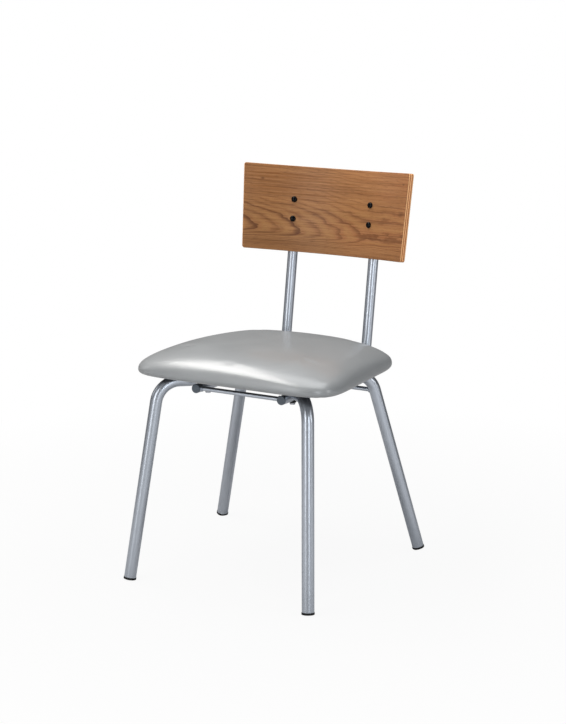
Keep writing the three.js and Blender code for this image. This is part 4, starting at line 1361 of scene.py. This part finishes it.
def dress(piece, slot, *nodes):
    """Gives a finished piece its material and body, and hides the CAD nodes that it stands for."""
    piece.data.materials.clear()
    piece.data.materials.append(finish_of(slot))
    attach(piece, "root")
    if nodes:
        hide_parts(*nodes)
    return piece


def set_out(master, node, kind, slot, places, degrees=FIRM):
    """Dresses a copy of a master at each of its places, and deletes the master."""
    for where, matrix in places.items():
        piece = copied(master, f"{node}_{where}_{kind}", matrix)
        dress(smooth_up_to(piece, degrees), slot, f"{node}_{where}")
    remove(master)


def dress_node(node, slot):
    """Gives a CAD node that stays its detailed material."""
    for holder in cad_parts[node].material_slots:
        holder.link = "OBJECT"
        holder.material = finish_of(slot)


# What a user can change


def length_of(name, description, default, least=0.0, most=1.0):
    """A length that a user can change."""
    return FloatProperty(
        name=name, description=description, default=default, min=least, max=most, unit="LENGTH")


def share_of(name, description, default, most=1.0):
    """A share that a user can change."""
    return FloatProperty(
        name=name, description=description, default=default, min=0, max=most, subtype="FACTOR")


def colour_of(name, description, *shown):
    """A colour that a user can change, given as the picture shows it."""
    return FloatVectorProperty(
        name=name, description=description, default=tint(*shown)[:3], min=0, max=1, subtype="COLOR")


class ChairSizes(bpy.types.PropertyGroup):
    """Sizes of the parts that the frame leaves open."""

    tube_sides: IntProperty(
        name="Tube Sides", description="Sides of each bent tube's mesh", default=40, min=12, max=96)
    ripple: share_of(
        "Weld Ripple", "Depth of the ripples in a weld bead, as a share of its radius", 0.16, 0.5)
    slack: length_of(
        "Cover Slack", "How much smaller than its form the cover starts before it swells", 0.0004)
    swell: length_of("Cover Swell", "The most that a point of the cover may rise as it swells", 0.001, 0.0001)
    sink: length_of(
        "Cover Sink", "The most that a point of the cover may sink as the rest swells", 0.0005, 0.0001)
    pressure: FloatProperty(
        name="Foam Pressure", description="Pressure of the foam on the cover", default=4, min=0)
    pucker: length_of("Corner Puckers", "Depth of the gathers under the seat's corners", 0.0009)
    edge_ease: length_of(
        "Backrest Edge", "Rounding of the backrest's front and rear edges", 0.0014, 0.0001, 0.004)


class ChairLooks(bpy.types.PropertyGroup):
    """Colours and gloss of the chair's finishes."""

    paint: colour_of("Silver Paint", "Colour of the frame's paint", 180, 186, 195)
    paint_roughness: share_of("Paint Roughness", "Roughness of the frame's paint", 0.33)
    vinyl: colour_of("Vinyl", "Colour of the seat's cover", 153, 156, 158)
    vinyl_roughness: share_of("Vinyl Roughness", "Roughness of the seat's cover", 0.4)
    walnut_light: colour_of("Walnut, Light", "Colour of the veneer's light zones", 145, 95, 53)
    walnut_dark: colour_of("Walnut, Dark", "Colour of the veneer's dark zones", 116, 70, 35)
    wood_roughness: share_of("Lacquer Roughness", "Roughness of the lacquer on the wood", 0.38)
    ply_light: colour_of("Ply, Pale", "Colour of the plies cut along their grain", 255, 196, 134)
    ply_dark: colour_of("Ply, Dark", "Colour of the plies cut across their grain", 186, 104, 50)


# Operators, one for each piece or group of like pieces


class ChairLegs(bpy.types.Operator):
    """Builds the four bent leg tubes, with the weld beads of their tabs"""

    bl_idname = "chair.legs"
    bl_label = "Legs"

    def execute(self, context):
        for end in ENDS:
            tube = leg_tube(end, 1, f"leg_{end}_right_tube")
            right = joined(tube.name, tube, *tab_beads(end, 1))
            smooth_up_to(right, FIRM)
            left = smooth_up_to(mirrored(right, f"leg_{end}_left_tube"), FIRM)
            dress(right, "silver_paint", f"leg_{end}_right")
            dress(left, "silver_paint", f"leg_{end}_left")
        return {"FINISHED"}


class ChairGlides(bpy.types.Operator):
    """Builds the four foot glides, cut flat where they meet the floor"""

    bl_idname = "chair.glides"
    bl_label = "Foot Glides"

    def execute(self, context):
        master = foot_glide()
        for end in ENDS:
            for side_name, side in SIDES.items():
                _, up, tube_end = leg_places(end, side)
                start = tube_end - up * (GAP + GLIDE_RIM + GLIDE_DOME)
                piece = copied(master, f"glide_{end}_{side_name}_cap", place_at(start, up))
                with editing(piece):
                    slice_at(ORIGIN, Z_AXIS, clear_inner=True, use_fill=True, threshold=TINY)
                dress(smooth_up_to(piece), "black_plastic", f"glide_{end}_{side_name}")
        remove(master)
        return {"FINISHED"}


class ChairRails(bpy.types.Operator):
    """Builds the two rails under the seat, drilled for the seat bolts, with their front plugs"""

    bl_idname = "chair.rails"
    bl_label = "Rails"

    def execute(self, context):
        ahead, seat_up = (SEAT_FRAME.to_3x3() @ axis for axis in (Y_AXIS, Z_AXIS))
        for side_name, side in SIDES.items():
            start = rail_point(side, 0)
            piece = open_tube(f"rail_{side_name}_tube", RAIL_RADIUS, RAIL_WALL, start, ahead,
                              draw_out, ahead * RAIL_LENGTH)
            for reach in BOLT_REACHES.values():
                carve(piece, drill(HOLE_RADIUS, rail_point(side, reach), seat_up))
            dress(smooth_up_to(piece), "silver_paint", f"rail_{side_name}")
            plug = tube_plug(RAIL_RADIUS, RAIL_RADIUS - RAIL_WALL)
            set_out(plug, "rail_plug", "cap", "grey_plastic", {side_name: place_at(start, -ahead)}, ROUND)
        return {"FINISHED"}


class ChairUprights(bpy.types.Operator):
    """Builds the two bent uprights, drilled for the back bolts, with their foot welds and top plugs"""

    bl_idname = "chair.uprights"
    bl_label = "Uprights"

    def execute(self, context):
        for side_name, side in SIDES.items():
            mouth = rail_point(side, SLEEVE_REACH)
            corner = rail_point(side, UPRIGHT_CORNER_REACH)
            top = BACK_FRAME @ Vector((side * RAIL_HALF_SPACING, UPRIGHT_DEPTH, UPRIGHT_TOP))
            name = f"upright_{side_name}_tube"
            piece = open_tube(name, UPRIGHT_RADIUS, UPRIGHT_WALL, mouth, corner - mouth,
                              round_corner, mouth, corner, top, UPRIGHT_BEND)
            for height in BACK_BOLT_HEIGHTS.values():
                carve(piece, back_drill(side, height, UPRIGHT_RADIAL))
            weld = weld_ring(RAIL_RADIUS + SLEEVE_BEAD_OUT, SLEEVE_BEAD, mouth, corner - mouth)
            dress(smooth_up_to(joined(name, piece, weld), FIRM), "silver_paint", f"upright_{side_name}")
            plug = tube_plug(UPRIGHT_RADIUS, UPRIGHT_RADIUS - UPRIGHT_WALL)
            places = {side_name: place_at(top, top - corner)}
            set_out(plug, "upright_plug", "cap", "black_plastic", places, ROUND)
        return {"FINISHED"}


class ChairRods(bpy.types.Operator):
    """Builds the front cross rod and the rear stretcher rod, with the welds at their ends"""

    bl_idname = "chair.rods"
    bl_label = "Cross Rods"

    def execute(self, context):
        front = coped_rod("front_cross_rod_welded", rail_point(-1, FRONT_ROD_REACH),
                          rail_point(1, FRONT_ROD_REACH), RAIL_RADIUS)
        dress(front, "silver_paint", "front_cross_rod")
        ends = []
        for side in SIDES.values():
            foot, up, _ = leg_places("rear", side)
            ends.append(foot + up * (REAR_ROD_HEIGHT / up.z))
        dress(coped_rod("rear_stretcher_rod_welded", *ends, LEG_RADIUS), "silver_paint", "rear_stretcher_rod")
        return {"FINISHED"}


class ChairSeat(bpy.types.Operator):
    """Builds the seat's swollen vinyl cover and the foam pad inside it"""

    bl_idname = "chair.seat"
    bl_label = "Seat Cushion"

    def execute(self, context):
        cover = dress(seat_cover(), "vinyl", "seat_cover")
        pad = dress(seat_foam(), "foam", "seat_foam")
        return {"FINISHED"}


class ChairUnderside(bpy.types.Operator):
    """Builds the dust cloth under the seat and its staples, and finishes the base board and T-nuts"""

    bl_idname = "chair.underside"
    bl_label = "Seat Underside"

    def execute(self, context):
        cloth, area = dust_cloth()
        dress(cloth, "dust_cloth", "seat_dust_cloth")
        wire = dress(staples(), "zinc")
        dress_node("seat_base_board", "plywood")
        for end in ENDS:
            for side_name in SIDES:
                dress_node(f"t_nut_{end}_{side_name}", "zinc")
        return {"FINISHED"}


class ChairSeatFittings(bpy.types.Operator):
    """Builds the seat bolts, their saddle washers and the spacers between the tabs and the board"""

    bl_idname = "chair.seat_fittings"
    bl_label = "Seat Fittings"

    def execute(self, context):
        low = -RAIL_RADIUS - GAP - SADDLE_THICKNESS
        saddle = saddle_blank(SADDLE_RADIUS, low, -RAIL_RADIUS + SADDLE_WRAP, SADDLE_EASE)
        carve(saddle, drill(RAIL_RADIUS + GAP, ORIGIN, Y_AXIS, WIDE_SIDES))
        spacer = saddle_blank(SPACER_RADIUS, RUN_LIFT + TAB_HALF + GAP, BOARD_BOTTOM - GAP, FITTING_EASE)
        places = {
            f"{end}_{side_name}": SEAT_FRAME @ Matrix.Translation((side * RAIL_HALF_SPACING, reach, 0))
            for end, reach in BOLT_REACHES.items() for side_name, side in SIDES.items()
        }
        set_out(seat_bolt(), "seat_bolt", "hex", "zinc", places)
        set_out(saddle, "seat_bolt_saddle", "washer", "black_plastic", places)
        set_out(spacer, "seat_spacer", "bush", "black_plastic", places)
        return {"FINISHED"}


class ChairBackrest(bpy.types.Operator):
    """Builds the bent backrest: its plywood core and the walnut veneer on its front and its rear"""

    bl_idname = "chair.backrest"
    bl_label = "Backrest"

    def execute(self, context):
        blank = back_blank(context.scene.chair_sizes.edge_ease)
        rear = BACK_THICKNESS - VENEER
        layers = [
            ("backrest_front_veneer", "walnut_veneer", 0, VENEER),
            ("backrest_core", "plywood", VENEER + GLUE_LINE, rear - GLUE_LINE),
            ("backrest_rear_veneer", "walnut_veneer", rear, BACK_THICKNESS),
        ]
        for node, slot, low, high in layers:
            dress(back_layer(blank, f"{node}_bent", low, high), slot, node)
        remove(blank)
        return {"FINISHED"}


class ChairBackFittings(bpy.types.Operator):
    """Builds the back bolts with their pads, and the cap nuts with their saddles behind the uprights"""

    bl_idname = "chair.back_fittings"
    bl_label = "Back Fittings"

    def execute(self, context):
        pad_start = BACK_RADIUS + BACK_THICKNESS + GAP
        saddle_end = NUT_START - GAP
        reach = PAD_THICKNESS + PAD_WRAP
        pad = saddle_blank(PAD_RADIUS, pad_start, pad_start + reach, FITTING_EASE)
        saddle = saddle_blank(SADDLE_RADIUS, saddle_end - reach, saddle_end, FITTING_EASE)
        for blank in (pad, saddle):
            carve(blank, drill(UPRIGHT_RADIUS + GAP, Vector((0, 0, UPRIGHT_RADIAL)), Y_AXIS, WIDE_SIDES))
        places = {
            f"{row}_{side_name}": bolt_frame(side, height)
            for row, height in BACK_BOLT_HEIGHTS.items() for side_name, side in SIDES.items()
        }
        set_out(dome_bolt(), "back_bolt", "dome", "black_steel", places)
        set_out(pad, "back_pad", "washer", "black_plastic", places)
        set_out(cap_nut(), "cap_nut", "hex", "zinc", places)
        set_out(saddle, "cap_nut_saddle", "washer", "black_plastic", places)
        return {"FINISHED"}


# Stage


def softbox(name, place, target, size, power, colour):
    """A rectangular studio lamp aimed at a point."""
    deselect()
    heading = (Vector(target) - Vector(place)).to_track_quat("-Z", "Y")
    bpy.ops.object.light_add(type="AREA", location=place, rotation=heading.to_euler())
    lamp = named(name).data
    lamp.shape = "RECTANGLE"
    lamp.size, lamp.size_y = size
    lamp.energy = power
    lamp.color = colour


def ray_kinds(tree):
    """Whether a ray is the camera's, and whether it is one that metal or glass sends."""
    path = add(tree, "ShaderNodeLightPath").outputs
    return path["Is Camera Ray"], calc(tree, "MAXIMUM", path["Is Glossy Ray"], path["Is Transmission Ray"])


def pale_floor():
    """A pale floor. The camera, metal and glass see it as white, with the chair's soft shadow on it."""
    material = bpy.data.materials.new("Studio Floor")
    material.use_nodes = True
    tree = material.node_tree
    tree.nodes.clear()
    place = placed_on(tree)
    colour = blend(tree, cloudy(tree, place, 3.0, 3), tint(184, 184, 185), tint(192, 192, 192))
    plain = add(tree, "ShaderNodeBsdfDiffuse", {"Color": colour}).outputs[0]
    white = add(tree, "ShaderNodeEmission", {"Color": (1, 1, 1, 1), "Strength": 1.0}).outputs[0]
    camera, mirror = ray_kinds(tree)
    away = vector_calc(tree, "LENGTH", place)
    forward = vector_calc(tree, "DOT_PRODUCT", place, STAGE_FRONT)
    seen = times(tree, camera, remap(tree, away, *FLOOR_SEEN))
    reflected = times(tree, mirror, remap(tree, forward, *FLOOR_IN_FRONT), remap(tree, away, *FLOOR_AROUND))
    mixed = add(tree, "ShaderNodeMixShader", {0: calc(tree, "MAXIMUM", seen, reflected), 1: plain, 2: white})
    add(tree, "ShaderNodeOutputMaterial", {"Surface": mixed.outputs[0]})
    return material


def studio_world():
    """A dim world that the camera sees as white, and that metal and glass see a little brighter."""
    world = bpy.data.worlds.new("Studio")
    world.use_nodes = True
    tree = world.node_tree
    camera, mirror = ray_kinds(tree)
    seen = calc(tree, "MAXIMUM", camera, times(tree, mirror, WORLD_REFLECTED))
    background = tree.nodes["Background"].inputs
    background["Color"].default_value = (1, 1, 1, 1)
    tree.links.new(remap(tree, seen, 0, 1, WORLD_STRENGTH, 1), background["Strength"])
    return world


class ChairStage(bpy.types.Operator):
    """Sets the floor, the studio lamps, the world and the camera"""

    bl_idname = "chair.stage"
    bl_label = "Stage"

    def execute(self, context):
        scene = context.scene
        deselect()
        bpy.ops.mesh.primitive_plane_add(size=FLOOR_SIZE)
        floor = apply_place(named("studio_floor"))
        floor.data.materials.append(pale_floor())
        for lamp in LAMPS:
            softbox(*lamp)
        scene.world = studio_world()
        bpy.ops.object.camera_add(location=CAMERA_PLACE, rotation=CAMERA_TURN)
        camera = named("photo_camera")
        camera.data.lens = CAMERA_LENS
        scene.camera = camera
        scene.view_settings.view_transform = "Standard"
        return {"FINISHED"}


class ChairPanel(bpy.types.Panel):
    """Lists the chair's pieces, sizes and finishes in the 3D view's sidebar"""

    bl_idname = "VIEW3D_PT_choir_chair"
    bl_label = "Choir Chair"
    bl_space_type = "VIEW_3D"
    bl_region_type = "UI"
    bl_category = "Chair"

    def draw(self, context):
        for group in (context.scene.chair_sizes, context.scene.chair_looks):
            box = self.layout.box()
            for name in group.__annotations__:
                box.prop(group, name)
        for operator in OPERATORS:
            self.layout.operator(operator.bl_idname)


OPERATORS = (
    ChairLegs, ChairGlides, ChairRails, ChairUprights, ChairRods, ChairSeat, ChairUnderside,
    ChairSeatFittings, ChairBackrest, ChairBackFittings, ChairStage,
)
CLASSES = (ChairSizes, ChairLooks, *OPERATORS, ChairPanel)


def register():
    """Registers the add-on's classes and puts its settings on the scene."""
    for item in CLASSES:
        bpy.utils.register_class(item)
    bpy.types.Scene.chair_sizes = PointerProperty(type=ChairSizes)
    bpy.types.Scene.chair_looks = PointerProperty(type=ChairLooks)


def unregister():
    """Takes the add-on's settings and classes away."""
    del bpy.types.Scene.chair_looks
    del bpy.types.Scene.chair_sizes
    for item in reversed(CLASSES):
        bpy.utils.unregister_class(item)


def main():
    """Registers the add-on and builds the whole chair."""
    register()
    for operator in OPERATORS:
        getattr(bpy.ops.chair, operator.bl_idname.split(".")[1])()


if __name__ == "__main__":
    main()
